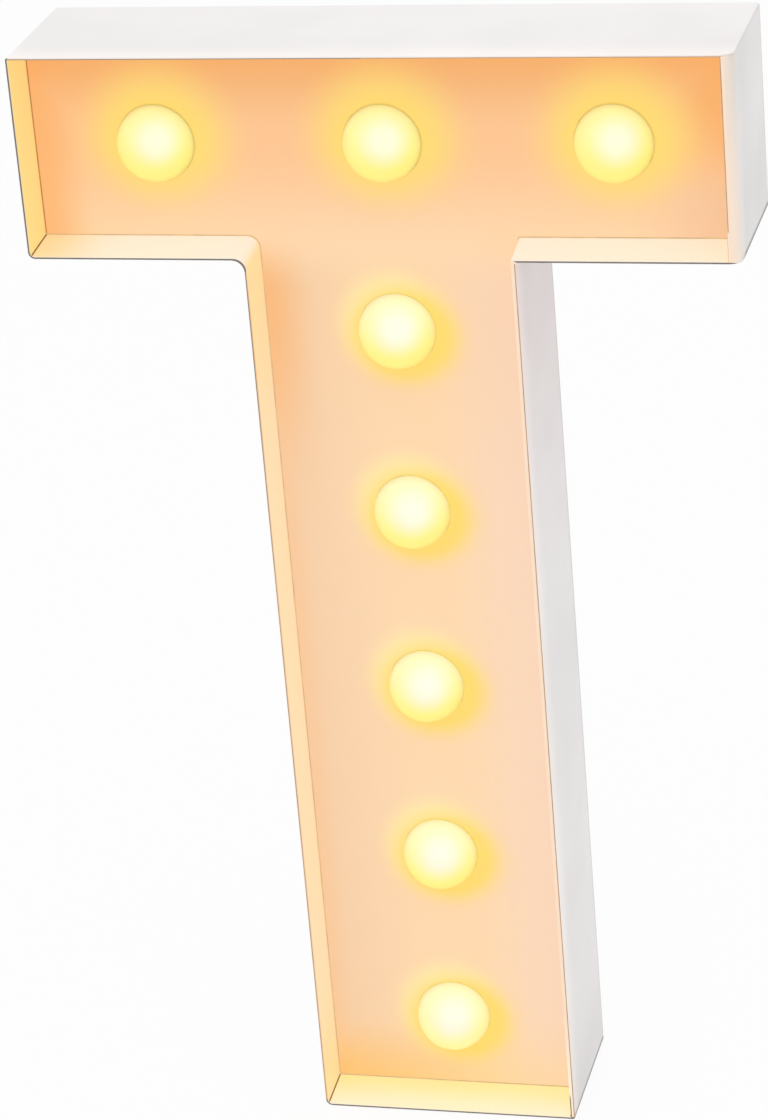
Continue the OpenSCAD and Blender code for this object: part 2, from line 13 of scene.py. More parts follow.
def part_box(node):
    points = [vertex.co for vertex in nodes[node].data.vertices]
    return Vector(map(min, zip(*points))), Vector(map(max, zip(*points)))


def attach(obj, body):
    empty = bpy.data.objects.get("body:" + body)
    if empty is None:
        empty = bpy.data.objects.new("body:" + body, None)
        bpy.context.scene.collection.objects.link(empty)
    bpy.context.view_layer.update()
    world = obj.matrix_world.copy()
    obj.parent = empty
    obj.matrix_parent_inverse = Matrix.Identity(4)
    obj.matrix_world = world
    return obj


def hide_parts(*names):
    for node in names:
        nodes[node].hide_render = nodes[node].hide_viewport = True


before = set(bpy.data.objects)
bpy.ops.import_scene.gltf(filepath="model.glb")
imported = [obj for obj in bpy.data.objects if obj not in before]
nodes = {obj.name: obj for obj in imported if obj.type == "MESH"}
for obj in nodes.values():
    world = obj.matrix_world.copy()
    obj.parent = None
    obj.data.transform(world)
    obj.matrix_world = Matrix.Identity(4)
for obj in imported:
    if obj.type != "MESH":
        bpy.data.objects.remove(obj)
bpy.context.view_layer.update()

MM = 0.001

# The letter, from its own box and a few sizes that the box does not hold
shell_low, shell_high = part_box("front_shell")
LETTER_W = shell_high.x - shell_low.x
LETTER_H = shell_high.z - shell_low.z
LETTER_D = shell_high.y - shell_low.y
FRONT_Y = shell_low.y
BAR_H = 39 * MM
STEM_W = 51 * MM
NECK_Z = LETTER_H - BAR_H
WALL = 1.2 * MM
RIM_WALL = 0.45 * MM
RECESS = 9.8 * MM
FLOOR_T = 1.2 * MM
FLOOR_Y = FRONT_Y + RECESS
FLOOR_BACK = RECESS + FLOOR_T
TRAY_HALF = LETTER_W / 2 - WALL
TRAY_STEM_HALF = STEM_W / 2 - WALL
TRAY_TOP = LETTER_H - WALL

# Corner radii of the outside, and the lips on the right of the bar and of the stem
CORNER_R = 1.3 * MM
SHARP_R = 0.5 * MM
NECK_LEFT_R = 2.4 * MM
NECK_RIGHT_R = 0.3 * MM
INNER_R = 0.2 * MM
ARC_STEPS = 8
LIP_W = 2.6 * MM
LIP_EASE = 1 * MM
LIP_POINTS = 3
STEM_LIP = 0.85 * MM

# Small edges of the shell
EDGE_R = 0.28 * MM
EDGE_STEPS = 4
RIM_R = 0.1 * MM
RIM_STEPS = 5
GROOVE_W = 0.25 * MM
GROOVE_D = 0.3 * MM

# Domes
DOME_NAMES = [f"bar_{i}" for i in range(1, 4)] + [f"stem_{i}" for i in range(1, 6)]
DOME_R = 7.25 * MM
DOME_WALL = 1 * MM
DOME_GAP = 0.15 * MM
DOME_FOOT = 0.11 * MM
FLANGE_R = 8.75 * MM
FLANGE_T = 0.8 * MM
ROUND_STEPS = 72
DOME_STEPS = 18


def dome_place(name):
    """Where a dome's axis meets the tray floor, as a place across and a height."""
    low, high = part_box("dome_" + name)
    return (low.x + high.x) / 2, (low.z + high.z) / 2


dome_places = [dome_place(name) for name in DOME_NAMES]


# Colours

def tone(red, green, blue):
    """A colour written as it shows on a screen, 0 to 255, as linear light."""
    def linear(level):
        share = level / 255
        return share / 12.92 if share <= 0.04045 else ((share + 0.055) / 1.055) ** 2.4
    return (linear(red), linear(green), linear(blue), 1.0)


BLACK = (0, 0, 0, 1)
WHITE = (1, 1, 1, 1)

# The white outside and its rim, with painted shade along the outer edges and under the bar, and painted
# light on the lip and near the rim
SHELL_WHITE = tone(246, 243, 242)
SHELL_SHADE = tone(241, 238, 237)
COVER_WHITE = tone(243, 241, 240)
COVER_SHADE = tone(238, 236, 235)
OUTER_EDGE_SHADE = tone(128, 122, 120)
UNDER_BAR_SHADOW = tone(212, 178, 180)
LIP_LIGHT_LOW = tone(246, 226, 208)
LIP_LIGHT_HIGH = tone(234, 221, 208)
RIM_LIGHT = tone(255, 218, 178)
RIM_SHADE_LINE = tone(136, 129, 119)
RIM_WARM_SHADE_LINE = tone(200, 162, 128)
RIM_STRIP_LIGHT = tone(253, 225, 200)
RIM_STRIP_LIGHT_FOOT = tone(255, 240, 222)

# The tray's floor: the lamps' warm light painted into its colour, with painted shade by the walls and
# painted pools of light round the domes
FLOOR_STEM = tone(255, 219, 178)
FLOOR_STEM_LEFT = tone(244, 211, 176)
FLOOR_STEM_RIGHT = tone(247, 219, 196)
FLOOR_FOOT = tone(255, 210, 108)
FLOOR_BAR = tone(255, 201, 150)
FLOOR_BAR_RIGHT = tone(240, 198, 164)
FLOOR_WALL_SHADE = tone(246, 183, 116)
HALO_BAR = tone(255, 222, 123)
HALO_STEM = tone(255, 221, 118)
BLOOM_STEM = tone(255, 236, 172)

# The tray's walls with the lamps' warm light painted into their colour, and the lines of painted shade
# where they meet
SIDE_BAR = tone(255, 226, 150)
SIDE_STEM = tone(255, 229, 192)
SIDE_STEM_END = tone(255, 226, 172)
LEDGE_BAR = tone(250, 241, 228)
LEDGE_BAR_LEFT = tone(250, 225, 177)
LEDGE_BAR_RIGHT = tone(250, 239, 224)
LEDGE_FOOT = tone(248, 240, 174)
LEDGE_FOOT_RIM = tone(252, 244, 214)
CEILING = tone(252, 206, 142)
SEAM_BAR_SHADE = tone(198, 150, 90)
SEAM_STEM_SHADE = tone(210, 187, 148)
CORNER_SHADE_LINE = tone(134, 108, 66)

# The domes: lamp glow, with painted light on their upper edges and a line round each foot, of painted
# shade on the bar's domes
CORE_BAR = tone(255, 242, 220)
CORE_STEM = tone(255, 242, 228)
DOME_BAR_UPPER = tone(255, 247, 174)
DOME_BAR_LOWER = tone(255, 238, 120)
DOME_BAR_FOOT_SHADE = tone(240, 224, 130)
DOME_STEM_UPPER = tone(255, 247, 198)
DOME_STEM_LOWER = tone(255, 239, 122)
DOME_STEM_LINE = tone(255, 236, 140)
DOME_FOOT_LOWER = tone(255, 242, 160)

# Where the brightest spot of a dome is, from the middle of its foot, and how far it spreads
CROWN_BAR = (2.1 * MM, -6.6 * MM, 2.6 * MM)
CROWN_STEM = (1.5 * MM, -6.6 * MM, 2.6 * MM)
CORE_FROM = 1.2 * MM
CORE_TO = 6.6 * MM

# The light on the floor round the domes: its shift, its reach and how fast it falls off
HALO_BAR_SHIFT = (0.6 * MM, 0.6 * MM)
HALO_BAR_REACH = 20 * MM
HALO_BAR_FALL = 1.4
HALO_STEM_SHIFT = (1.4 * MM, -1.2 * MM)
HALO_STEM_REACH = 16 * MM
HALO_STEM_FALL = 2.4
HALO_STEM_SQUASH = 1.1
BLOOM_STEM_SHIFT = (-0.6 * MM, 1.2 * MM)
BLOOM_STEM_REACH = 14 * MM
BLOOM_STEM_FALL = 1.5

# How strongly a surface shines by itself, and how far its plain colour is darkened for that; only the
# domes and the lamps shine as lamps, the rest is painted glow
TRAY_GLOW = 0.43
TRAY_DIM = 0.35
DOME_GLOW = 0.45
DOME_DIM = 0.42
SEAM_BAR_GLOW = 0.35
CORNER_GLOW = 0.25
RIM_WARM_GLOW = 0.1
RIM_LIGHT_REACH = 8 * MM
RIM_LIGHT_FALL = 1.5
RIM_GLOW = 0.1
LIP_GLOW = 0.16
BOARD_GLOW = 0.25
LAMP_GLOW = 1.3

# Where patches start and end in a noise, and the grain of moulded and drawn faces
NOISE_LOW = 0.3
NOISE_HIGH = 0.7
GRAIN_WAVES = 2600
FINE_GRAIN = 0.01 * MM
COARSE_GRAIN = 0.02 * MM
SHELL_GRAIN = 0.008 * MM
LINE_ROUGH = 0.8

# The print round each lamp on the boards, and the band of a cell below its upper end
PRINT_R = 6.3 * MM
PRINT_OUT = 6.6 * MM
CELL_BAND_DROP = 12 * MM
CELL_BAND_HALF = 2 * MM


# Shader nodes

class Shader:
    """One material's node tree, with short calls that add nodes and link them."""

    def __init__(self, name):
        self.material = bpy.data.materials.new(name)
        self.material.use_nodes = True
        self.tree = self.material.node_tree
        self.surface = self.tree.nodes["Principled BSDF"]
        coordinates = self.add("ShaderNodeTexCoord")
        self.place = coordinates.outputs["Object"]
        self.normal = coordinates.outputs["Normal"]

    def add(self, kind, inputs=None, **settings):
        """A node of this kind, with its settings and with values or links on its inputs."""
        made = self.tree.nodes.new(kind)
        for key, value in settings.items():
            setattr(made, key, value)
        for socket, value in (inputs or {}).items():
            self.feed(made.inputs[socket], value)
        return made

    def feed(self, socket, value):
        """Links an output to a socket, or sets the socket's own value."""
        if isinstance(value, bpy.types.NodeSocket):
            self.tree.links.new(value, socket)
        else:
            socket.default_value = value

    def finish(self, **sockets):
        """Sets the surface's sockets, named in lower case, and returns the material."""
        named = {socket.name.lower().replace(" ", "_"): socket for socket in self.surface.inputs}
        for key, value in sockets.items():
            self.feed(named[key], value)
        return self.material

    def math(self, operation, a, b=0.0):
        """One step of arithmetic on one or two values."""
        return self.add("ShaderNodeMath", {0: a, 1: b}, operation=operation).outputs[0]

    def times(self, a, b):
        """Two values multiplied."""
        return self.math("MULTIPLY", a, b)

    def most(self, first, *others):
        """The largest of several values."""
        largest = first
        for value in others:
            largest = self.math("MAXIMUM", largest, value)
        return largest

    def fade(self, value, start, end, low=0.0, high=1.0):
        """A smooth step from low, where the value is at start, to high at end."""
        inputs = {"Value": value, "From Min": start, "From Max": end, "To Min": low, "To Max": high}
        return self.add("ShaderNodeMapRange", inputs, interpolation_type="SMOOTHSTEP").outputs[0]

    def blend(self, share, a, b):
        """A colour between a and b."""
        return self.add("ShaderNodeMix", {0: share, 6: a, 7: b}, data_type="RGBA").outputs[2]

    def axes(self, vector):
        """The three parts of a vector."""
        return self.add("ShaderNodeSeparateXYZ", {0: vector}).outputs

    def distance(self, place, centre):
        """How far a place is from a centre."""
        made = self.add("ShaderNodeVectorMath", {0: place, 1: centre}, operation="DISTANCE")
        return made.outputs["Value"]

    def noise(self, scale, detail, stretch=None):
        """Noise from 0 to 1 with so many waves per metre, in the piece's own space."""
        place = self.place
        if stretch:
            place = self.add("ShaderNodeMapping", {"Vector": place, "Scale": stretch}).outputs[0]
        made = self.add("ShaderNodeTexNoise", {"Vector": place, "Scale": scale, "Detail": detail})
        return made.outputs[0]

    def patches(self, scale, detail, low=0.0, high=1.0):
        """Soft patches that run from low to high."""
        return self.fade(self.noise(scale, detail), NOISE_LOW, NOISE_HIGH, low, high)

    def bump(self, height, depth):
        """A normal that follows a height from 0 to 1, so many metres deep."""
        return self.add("ShaderNodeBump", {"Height": height, "Distance": depth}).outputs[0]


def nearest_dome(s, bar_shift=(0.0, 0.0), stem_shift=(0.0, 0.0), squash=1.0):
    """Distance along the floor to the nearest dome's axis, with heights stretched by squash."""
    flat = s.add(
        "ShaderNodeVectorMath", {0: s.place, 1: (1, 0, squash)}, operation="MULTIPLY"
    ).outputs[0]
    least = None
    for x, z in dome_places:
        shift_x, shift_z = bar_shift if z > NECK_Z else stem_shift
        gap = s.distance(flat, (x + shift_x, 0, (z + shift_z) * squash))
        least = gap if least is None else s.math("MINIMUM", least, gap)
    return least


# Materials

def plastic_outside(name, light, shade, grain_depth):
    """White moulded plastic, with a painted glow near the lit rim, and painted shade at its far edges
    and under the bar.
    """
    s = Shader(name)
    x, y, z = s.axes(s.place)
    normal = s.axes(s.normal)
    across = s.math("ABSOLUTE", x)
    depth = s.math("SUBTRACT", y, FRONT_Y)
    sideways = s.fade(s.math("ABSOLUTE", normal[0]), 0.5, 0.8)
    upright = s.fade(s.math("ABSOLUTE", normal[2]), 0.6, 0.2)
    in_bar = s.math("GREATER_THAN", across, STEM_W / 2 + 1 * MM)
    in_stem = s.math("SUBTRACT", 1, in_bar)

    # Painted light: the sides glow warm near the lit rim, and the lip at the ends of the bar takes a
    # cream colour from that light
    past_lip = s.math("SUBTRACT", across, LETTER_W / 2 - LIP_W)
    at_end = s.times(s.fade(past_lip, -LIP_W, 0), upright)
    along = s.math("ADD", depth, s.times(at_end, past_lip))
    lit = s.math("POWER", s.fade(along, 0, RIM_LIGHT_REACH, 1, 0), RIM_LIGHT_FALL)
    lip = s.blend(s.fade(z, NECK_Z + 10 * MM, LETTER_H - 6 * MM), LIP_LIGHT_LOW, LIP_LIGHT_HIGH)
    tint = s.blend(s.fade(s.noise(28, 3), 0.35, 0.65), light, shade)
    tint = s.blend(s.times(lit, at_end), tint, lip)

    # Painted shade: the sides turn darker along their low and back edges and towards their top
    height = s.math("SUBTRACT", z, s.times(in_bar, NECK_Z))
    low_edge_shade = s.most(s.fade(height, 1.7 * MM, 0.5 * MM), s.fade(height, 30 * MM, 0, 0, 0.12))
    low_edge_shade = s.times(low_edge_shade, s.fade(depth, 1 * MM, 4 * MM, in_stem, 1))
    back_edge_shade = s.fade(depth, LETTER_D - 1.4 * MM, LETTER_D - 0.8 * MM, 0, 0.2)
    under_top_shade = s.fade(z, LETTER_H - 20 * MM, LETTER_H - 2 * MM, 0, 0.07)
    top_edge_shade = s.fade(z, LETTER_H - 0.9 * MM, LETTER_H - 0.5 * MM, 0, 0.18)
    edges = s.most(low_edge_shade, back_edge_shade, under_top_shade, top_edge_shade)
    tint = s.blend(s.times(sideways, edges), tint, OUTER_EDGE_SHADE)
    # Painted shadow on the sides of the stem below the bar
    below_bar = s.times(in_stem, s.fade(z, NECK_Z - 75 * MM, NECK_Z - 8 * MM, 0, 0.3))
    tint = s.blend(s.times(sideways, below_bar), tint, UNDER_BAR_SHADOW)
    return s.finish(
        base_color=tint,
        roughness=s.patches(90, 4, 0.36, 0.46),
        normal=s.bump(s.noise(GRAIN_WAVES, 3), grain_depth),
        emission_color=s.blend(lit, BLACK, RIM_LIGHT),
        emission_strength=s.fade(at_end, 0, 1, RIM_GLOW, LIP_GLOW),
    )


def floor_painted_light(s, x, z):
    """The tray's floor, all painted light: the lamps' warm peach, painted shade by the walls and
    painted yellow light round each dome.
    """
    in_bar = s.fade(z, NECK_Z - 4 * MM, NECK_Z + 20 * MM)
    below_bar = s.math("SUBTRACT", 1, in_bar)
    in_stem = s.fade(z, NECK_Z + 2 * MM, NECK_Z - 10 * MM)
    stem_left = s.times(in_stem, s.fade(x, 0, -TRAY_STEM_HALF))
    stem_right = s.times(in_stem, s.fade(x, 4 * MM, TRAY_STEM_HALF))
    bar_right = s.fade(x, TRAY_HALF - 24 * MM, TRAY_HALF, 0, 0.9)
    low_in_bar = s.fade(z, NECK_Z + 25 * MM, NECK_Z + 5 * MM)
    colour = s.blend(in_bar, FLOOR_STEM, FLOOR_BAR)
    colour = s.blend(stem_left, colour, FLOOR_STEM_LEFT)
    colour = s.blend(stem_right, colour, FLOOR_STEM_RIGHT)
    colour = s.blend(s.times(bar_right, low_in_bar), colour, FLOOR_BAR_RIGHT)

    # Painted shade: the floor turns deeper towards the walls, the neck and the foot
    high_in_bar = s.fade(z, NECK_Z + 8 * MM, NECK_Z + 27 * MM)
    at_neck = s.times(in_stem, s.fade(z, NECK_Z - 60 * MM, NECK_Z - 10 * MM))
    at_foot = s.fade(z, 16 * MM, 0)
    by_top = s.fade(z, TRAY_TOP - 17 * MM, TRAY_TOP - 1 * MM)
    by_bar_left = s.fade(x, -TRAY_HALF + 10 * MM, -TRAY_HALF + 1 * MM, 0, 0.65)
    by_bar_right = s.fade(x, TRAY_HALF - 20 * MM, TRAY_HALF - 4 * MM, 0, 0.9)
    by_stem_left = s.fade(x, -TRAY_STEM_HALF + 4 * MM, -TRAY_STEM_HALF, 0, 0.17)
    by_neck_left = s.fade(x, -TRAY_STEM_HALF + 10 * MM, -TRAY_STEM_HALF, 0.1, 0.7)
    by_foot_left = s.fade(x, 10 * MM, -TRAY_STEM_HALF, 0, 0.6)
    wall_shade = s.most(
        by_top,
        by_bar_left,
        s.times(high_in_bar, by_bar_right),
        s.times(in_stem, by_stem_left),
        s.times(at_neck, by_neck_left),
        s.times(at_foot, by_foot_left),
    )
    colour = s.blend(wall_shade, colour, FLOOR_WALL_SHADE)
    # Painted light: yellower near the ledge of the foot
    off_ledge = s.fade(z, 18 * MM, 2 * MM, 0, 0.4)
    off_ledge = s.times(off_ledge, s.fade(x, TRAY_STEM_HALF, -TRAY_STEM_HALF, 0.4, 1))
    colour = s.blend(off_ledge, colour, FLOOR_FOOT)

    # Painted pools of light round the domes
    gap = nearest_dome(s, stem_shift=BLOOM_STEM_SHIFT)
    bloom = s.math("POWER", s.fade(gap, BLOOM_STEM_REACH, DOME_R, 0, 0.9), BLOOM_STEM_FALL)
    colour = s.blend(s.times(below_bar, bloom), colour, BLOOM_STEM)
    gap = nearest_dome(s, stem_shift=HALO_STEM_SHIFT, squash=HALO_STEM_SQUASH)
    halo = s.math("POWER", s.fade(gap, HALO_STEM_REACH, DOME_R + 0.2 * MM), HALO_STEM_FALL)
    colour = s.blend(s.times(below_bar, halo), colour, HALO_STEM)
    gap = nearest_dome(s, bar_shift=HALO_BAR_SHIFT)
    halo = s.math("POWER", s.fade(gap, HALO_BAR_REACH, DOME_R), HALO_BAR_FALL)
    colour = s.blend(s.times(in_bar, halo), colour, HALO_BAR)
    # Painted shade: a thin darker ring on the floor round the foot of each of the bar's domes
    ring = s.fade(nearest_dome(s), DOME_R + 0.45 * MM, DOME_R + 0.2 * MM, 0, 0.2)
    return s.blend(s.times(in_bar, ring), colour, SEAM_BAR_SHADE)


def wall_painted_light(s, x, y, z):
    """The painted warm light of the tray's upright walls, and of its ledges under the bar and at the
    foot.
    """
    stem_end = s.most(s.fade(z, 30 * MM, 0), s.fade(z, NECK_Z - 40 * MM, NECK_Z))
    side = s.blend(stem_end, SIDE_STEM, SIDE_STEM_END)
    side = s.blend(s.fade(s.math("ABSOLUTE", x), TRAY_STEM_HALF, TRAY_HALF), side, SIDE_BAR)

    to_right = s.fade(x, 40 * MM, TRAY_HALF)
    to_left = s.math("POWER", s.fade(x, -40 * MM, -TRAY_HALF), 3)
    to_rim = s.fade(y, FLOOR_Y, FRONT_Y)
    at_foot = s.fade(z, NECK_Z - 20 * MM, 20 * MM)
    ledge = s.blend(to_right, LEDGE_BAR, LEDGE_BAR_RIGHT)
    ledge = s.blend(to_left, ledge, LEDGE_BAR_LEFT)
    ledge = s.blend(at_foot, ledge, s.blend(to_rim, LEDGE_FOOT, LEDGE_FOOT_RIM))
    return side, ledge


def plastic_lit(name):
    """The inside of the tray: white plastic with the lamps' warm light and shade painted into its
    colour and glow.
    """
    s = Shader(name)
    x, y, z = s.axes(s.place)
    normal = s.axes(s.normal)
    side, ledge = wall_painted_light(s, x, y, z)
    colour = s.blend(s.fade(normal[1], -0.3, -0.7), side, floor_painted_light(s, x, z))
    colour = s.blend(s.fade(normal[2], 0.05, 0.95), colour, ledge)
    colour = s.blend(s.fade(normal[2], -0.3, -0.7), colour, CEILING)
    return s.finish(
        base_color=s.blend(TRAY_DIM, colour, BLACK),
        roughness=s.patches(120, 4, 0.42, 0.52),
        normal=s.bump(s.noise(GRAIN_WAVES, 3), FINE_GRAIN),
        specular_ior_level=0.25,
        emission_color=colour,
        emission_strength=TRAY_GLOW,
    )


def uneven(s, colour):
    """A colour with slightly darker patches."""
    dull = [0.8 * part for part in colour[:3]] + [1.0]
    return s.blend(s.patches(300, 2), colour, dull)


def thin_line(name, colour, strength):
    """A thin line of painted shade where two faces meet, with a painted glow of the given strength."""
    s = Shader(name)
    return s.finish(
        base_color=uneven(s, colour),
        roughness=LINE_ROUGH,
        emission_color=colour,
        emission_strength=strength,
    )


def warm_rim_line(name):
    """The rim's warm line of painted shade with a faint painted glow, paler beside the bar's right
    ledge and grey by the neck's left.
    """
    s = Shader(name)
    x, _, z = s.axes(s.place)
    on_right = s.math("GREATER_THAN", x, STEM_W / 2 + 2 * MM)
    on_left = s.math("LESS_THAN", x, 0)
    by_ledge = s.times(on_right, s.fade(z, NECK_Z + 6.5 * MM, NECK_Z + 5.5 * MM))
    by_neck = s.times(on_left, s.fade(z, NECK_Z - 70 * MM, NECK_Z - 8 * MM))
    tint = s.blend(by_ledge, uneven(s, RIM_WARM_SHADE_LINE), LEDGE_BAR_RIGHT)
    tint = s.blend(by_neck, tint, RIM_SHADE_LINE)
    return s.finish(
        base_color=tint,
        roughness=LINE_ROUGH,
        emission_color=tint,
        emission_strength=RIM_WARM_GLOW,
    )


def rim_strip(name):
    """The rim on the right of the stem, pale with painted light, with a line of painted shade at the
    corner beside the ledge of the foot.
    """
    s = Shader(name)
    x, _, z = s.axes(s.place)
    inner = STEM_W / 2 - STEM_LIP
    by_ledge = s.times(
        s.fade(z, 6 * MM, 4.5 * MM), s.fade(x, inner + 0.3 * MM, inner + 0.2 * MM)
    )
    colour = s.blend(s.fade(z, 25 * MM, 8 * MM), RIM_STRIP_LIGHT, RIM_STRIP_LIGHT_FOOT)
    colour = s.blend(by_ledge, colour, CORNER_SHADE_LINE)
    return s.finish(
        base_color=s.blend(TRAY_DIM, colour, BLACK),
        roughness=0.5,
        emission_color=colour,
        emission_strength=TRAY_GLOW,
    )


def dome_plastic(name, crown, core, lit_upper_edge, lower_edge, line):
    """Frosted warm plastic, lit from inside, deeper at its edge, with painted light on its upper edge
    and a line round its foot, of painted shade on the bar's domes.
    """
    s = Shader(name)
    y, z = s.axes(s.place)[1:]
    outward = s.fade(s.distance(s.place, crown), CORE_FROM, CORE_TO)
    at_foot = s.fade(y, -0.35 * MM, -0.2 * MM)
    edge = s.blend(s.fade(z, DOME_R, -0.6 * DOME_R), lit_upper_edge, lower_edge)
    tint = s.blend(outward, core, s.blend(0.35, edge, WHITE))
    tint = s.blend(at_foot, tint, line)
    glow = s.blend(outward, core, edge)
    glow = s.blend(at_foot, glow, line)
    glow = s.blend(s.fade(y, 0, FLOOR_T), glow, BLACK)
    return s.finish(
        base_color=s.blend(DOME_DIM, tint, BLACK),
        roughness=s.patches(500, 3, 0.52, 0.6),
        ior=1.4,
        transmission_weight=0.4,
        specular_ior_level=0.2,
        emission_color=glow,
        emission_strength=DOME_GLOW,
    )


def led_glow(name):
    """A clear lamp, burning warm white."""
    s = Shader(name)
    warm = s.blend(s.patches(700, 2), tone(255, 253, 250), tone(255, 251, 244))
    return s.finish(base_color=warm, roughness=0.2, emission_color=warm, emission_strength=LAMP_GLOW)


def board_mask(name):
    """Green solder mask with a white print round each lamp, lit warm."""
    s = Shader(name)
    facing = s.fade(s.axes(s.normal)[1], -0.4, -0.6)
    printed = s.times(facing, s.fade(nearest_dome(s), PRINT_OUT, PRINT_R))
    green = s.blend(s.patches(160, 3), (0.012, 0.1, 0.045, 1), (0.018, 0.13, 0.06, 1))
    return s.finish(
        base_color=s.blend(printed, green, tone(250, 240, 215)),
        roughness=0.4,
        emission_color=s.blend(printed, BLACK, tone(255, 225, 120)),
        emission_strength=BOARD_GLOW,
    )


def metal(name, light, shade, rough_low, rough_high):
    """Plated metal with faint brushing."""
    s = Shader(name)
    brushing = s.noise(900, 3, (1, 1, 0.08))
    return s.finish(
        base_color=s.blend(s.fade(brushing, NOISE_LOW, NOISE_HIGH), light, shade),
        metallic=1.0,
        roughness=s.fade(brushing, NOISE_LOW, NOISE_HIGH, rough_low, rough_high),
        normal=s.bump(brushing, FINE_GRAIN),
    )


def plain_plastic(name, light, shade, rough_low, rough_high, grain_depth):
    """Moulded plastic of one colour with a fine grain."""
    s = Shader(name)
    return s.finish(
        base_color=s.blend(s.patches(220, 3), light, shade),
        roughness=s.patches(400, 3, rough_low, rough_high),
        normal=s.bump(s.noise(3500, 2), grain_depth),
    )


def cell_wrap(name):
    """A plain dark wrap with one pale band near its upper end."""
    s = Shader(name)
    band_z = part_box("cell_left")[1].z - CELL_BAND_DROP
    from_band = s.math("ABSOLUTE", s.math("SUBTRACT", s.axes(s.place)[2], band_z))
    on_band = s.math("LESS_THAN", from_band, CELL_BAND_HALF)
    wrap = s.blend(s.patches(60, 3), tone(58, 68, 82), tone(50, 60, 74))
    return s.finish(
        base_color=s.blend(on_band, wrap, tone(198, 204, 210)),
        roughness=0.32,
        normal=s.bump(s.noise(300, 2), COARSE_GRAIN),
    )


# The front shell

# Corners are counted anticlockwise from the left of the foot
CORNERS = 8
FOOT_LEFT = 0
FOOT_RIGHT = 1
NECK_RIGHT = 2
BAR_LOW_RIGHT = 3
BAR_TOP_RIGHT = 4
BAR_TOP_LEFT = 5
BAR_LOW_LEFT = 6
NECK_LEFT = 7
# The inner corners whose crease gets a line of painted shade
LINED_CORNERS = (FOOT_LEFT, FOOT_RIGHT, BAR_LOW_LEFT)

# The shell's materials in their order: the outside, the tray, the seam and corner lines of painted
# shade, the rim's lines of painted shade and its strip of painted light
OUT, LIT, SEAM, SEAM_PALE, CORNER_SHADE, RIM_SHADE, RIM_WARM_SHADE, LIT_RIM_STRIP = range(8)

# The materials of the rim's nine faces, from its outer edge in
RIM_PLAIN = [RIM_SHADE] * 7 + [OUT] * 2
RIM_BAR_LIP = [OUT] * 6 + [LIT_RIM_STRIP] * 2 + [RIM_WARM_SHADE]
RIM_BAR_TOP = [OUT] * 5 + [RIM_WARM_SHADE] * 4
RIM_NECK_RIGHT = [LIT_RIM_STRIP] * 9
RIM_STEM_LEFT = [RIM_WARM_SHADE] * 5 + [LIT] * 4
RIM_STEM_RIGHT = [RIM_WARM_SHADE] * 3 + [LIT_RIM_STRIP] * 6


def lip_inset(inset):
    """How far a ring of the rim is drawn in at the bar's broad lip, from its inset elsewhere."""
    if inset < RIM_WALL:
        return inset * LIP_W / RIM_WALL
    return LIP_W + (inset - RIM_WALL) / 2


def stem_lip_inset(inset):
    """The same for the pale rim on the right of the stem."""
    if inset <= RIM_R or inset >= WALL:
        return inset
    flat_end = RIM_WALL - RIM_R
    if inset < flat_end:
        return RIM_R + (inset - RIM_R) * (STEM_LIP - 2 * RIM_R) / (flat_end - RIM_R)
    if inset <= RIM_WALL:
        return STEM_LIP - (RIM_WALL - inset)
    return STEM_LIP + (inset - RIM_WALL) * (WALL - STEM_LIP) / (WALL - RIM_WALL)


def letter_corners(inset, front):
    """The letter's corners drawn in by inset: place across, height and radius.

    The front's rings have the lips on the right of the bar and stem, and no draft on the left walls.
    """
    draft = max(min(inset, WALL) - RIM_WALL, 0) if front else 0
    stem_left = inset - draft - STEM_W / 2
    stem_right = STEM_W / 2 - (stem_lip_inset(inset) if front else inset)
    left = inset - draft - LETTER_W / 2
    right = LETTER_W / 2 - (lip_inset(inset) if front else inset)
    top = LETTER_H - inset
    neck = NECK_Z + inset
    round_r = CORNER_R - inset if inset < RIM_WALL else INNER_R
    sharp_r = max(SHARP_R - inset, INNER_R)
    return [
        (stem_left, inset, round_r),
        (stem_right, inset, sharp_r),
        (stem_right, neck, NECK_RIGHT_R),
        (right, neck, sharp_r),
        (right, top, sharp_r),
        (left, top, sharp_r),
        (left, neck, round_r),
        (stem_left, neck, NECK_LEFT_R),
    ]


def letter_outline(inset, front=False):
    """Points of the letter's outline drawn in by inset, with each corner as an arc."""
    corners = letter_corners(inset, front)
    turns = [math.pi / 2 * step / ARC_STEPS for step in range(ARC_STEPS + 1)]
    points = []
    for i, (x, z, radius) in enumerate(corners):
        here = Vector((x, z))
        before = Vector(corners[i - 1][:2])
        after = Vector(corners[(i + 1) % CORNERS][:2])
        arriving = (here - before).normalized()
        leaving = (after - here).normalized()
        centre = here + radius * (leaving - arriving)
        arc = [centre + radius * (arriving * math.sin(t) - leaving * math.cos(t)) for t in turns]
        lip_start = Vector((LETTER_W / 2 - LIP_W - LIP_EASE, z))
        if i == BAR_LOW_RIGHT:
            arc = [lip_start.lerp(arc[0], k / LIP_POINTS) for k in range(LIP_POINTS)] + arc
        elif i == BAR_TOP_RIGHT:
            arc += [arc[-1].lerp(lip_start, k / LIP_POINTS) for k in range(1, LIP_POINTS + 1)]
        points += arc
    return points


def outline_parts():
    """For each stretch of the outline: the corner that it is on or follows, and if it is on the arc."""
    parts = []
    for i in range(CORNERS):
        arc = [(i, True)] * ARC_STEPS + [(i, False)]
        if i == BAR_LOW_RIGHT:
            arc = [(i - 1, False)] * LIP_POINTS + arc
        elif i == BAR_TOP_RIGHT:
            arc += [(i, False)] * LIP_POINTS
        parts += arc
    return parts


def lip_fall(x, depth):
    """How far the rounded lip at the right end of the bar lies behind a square front."""
    along = x - (LETTER_W / 2 - LIP_W)
    if along <= 0 or depth > LIP_W:
        return 0.0
    return LIP_W - math.sqrt(max(LIP_W ** 2 - along ** 2, 0.0))


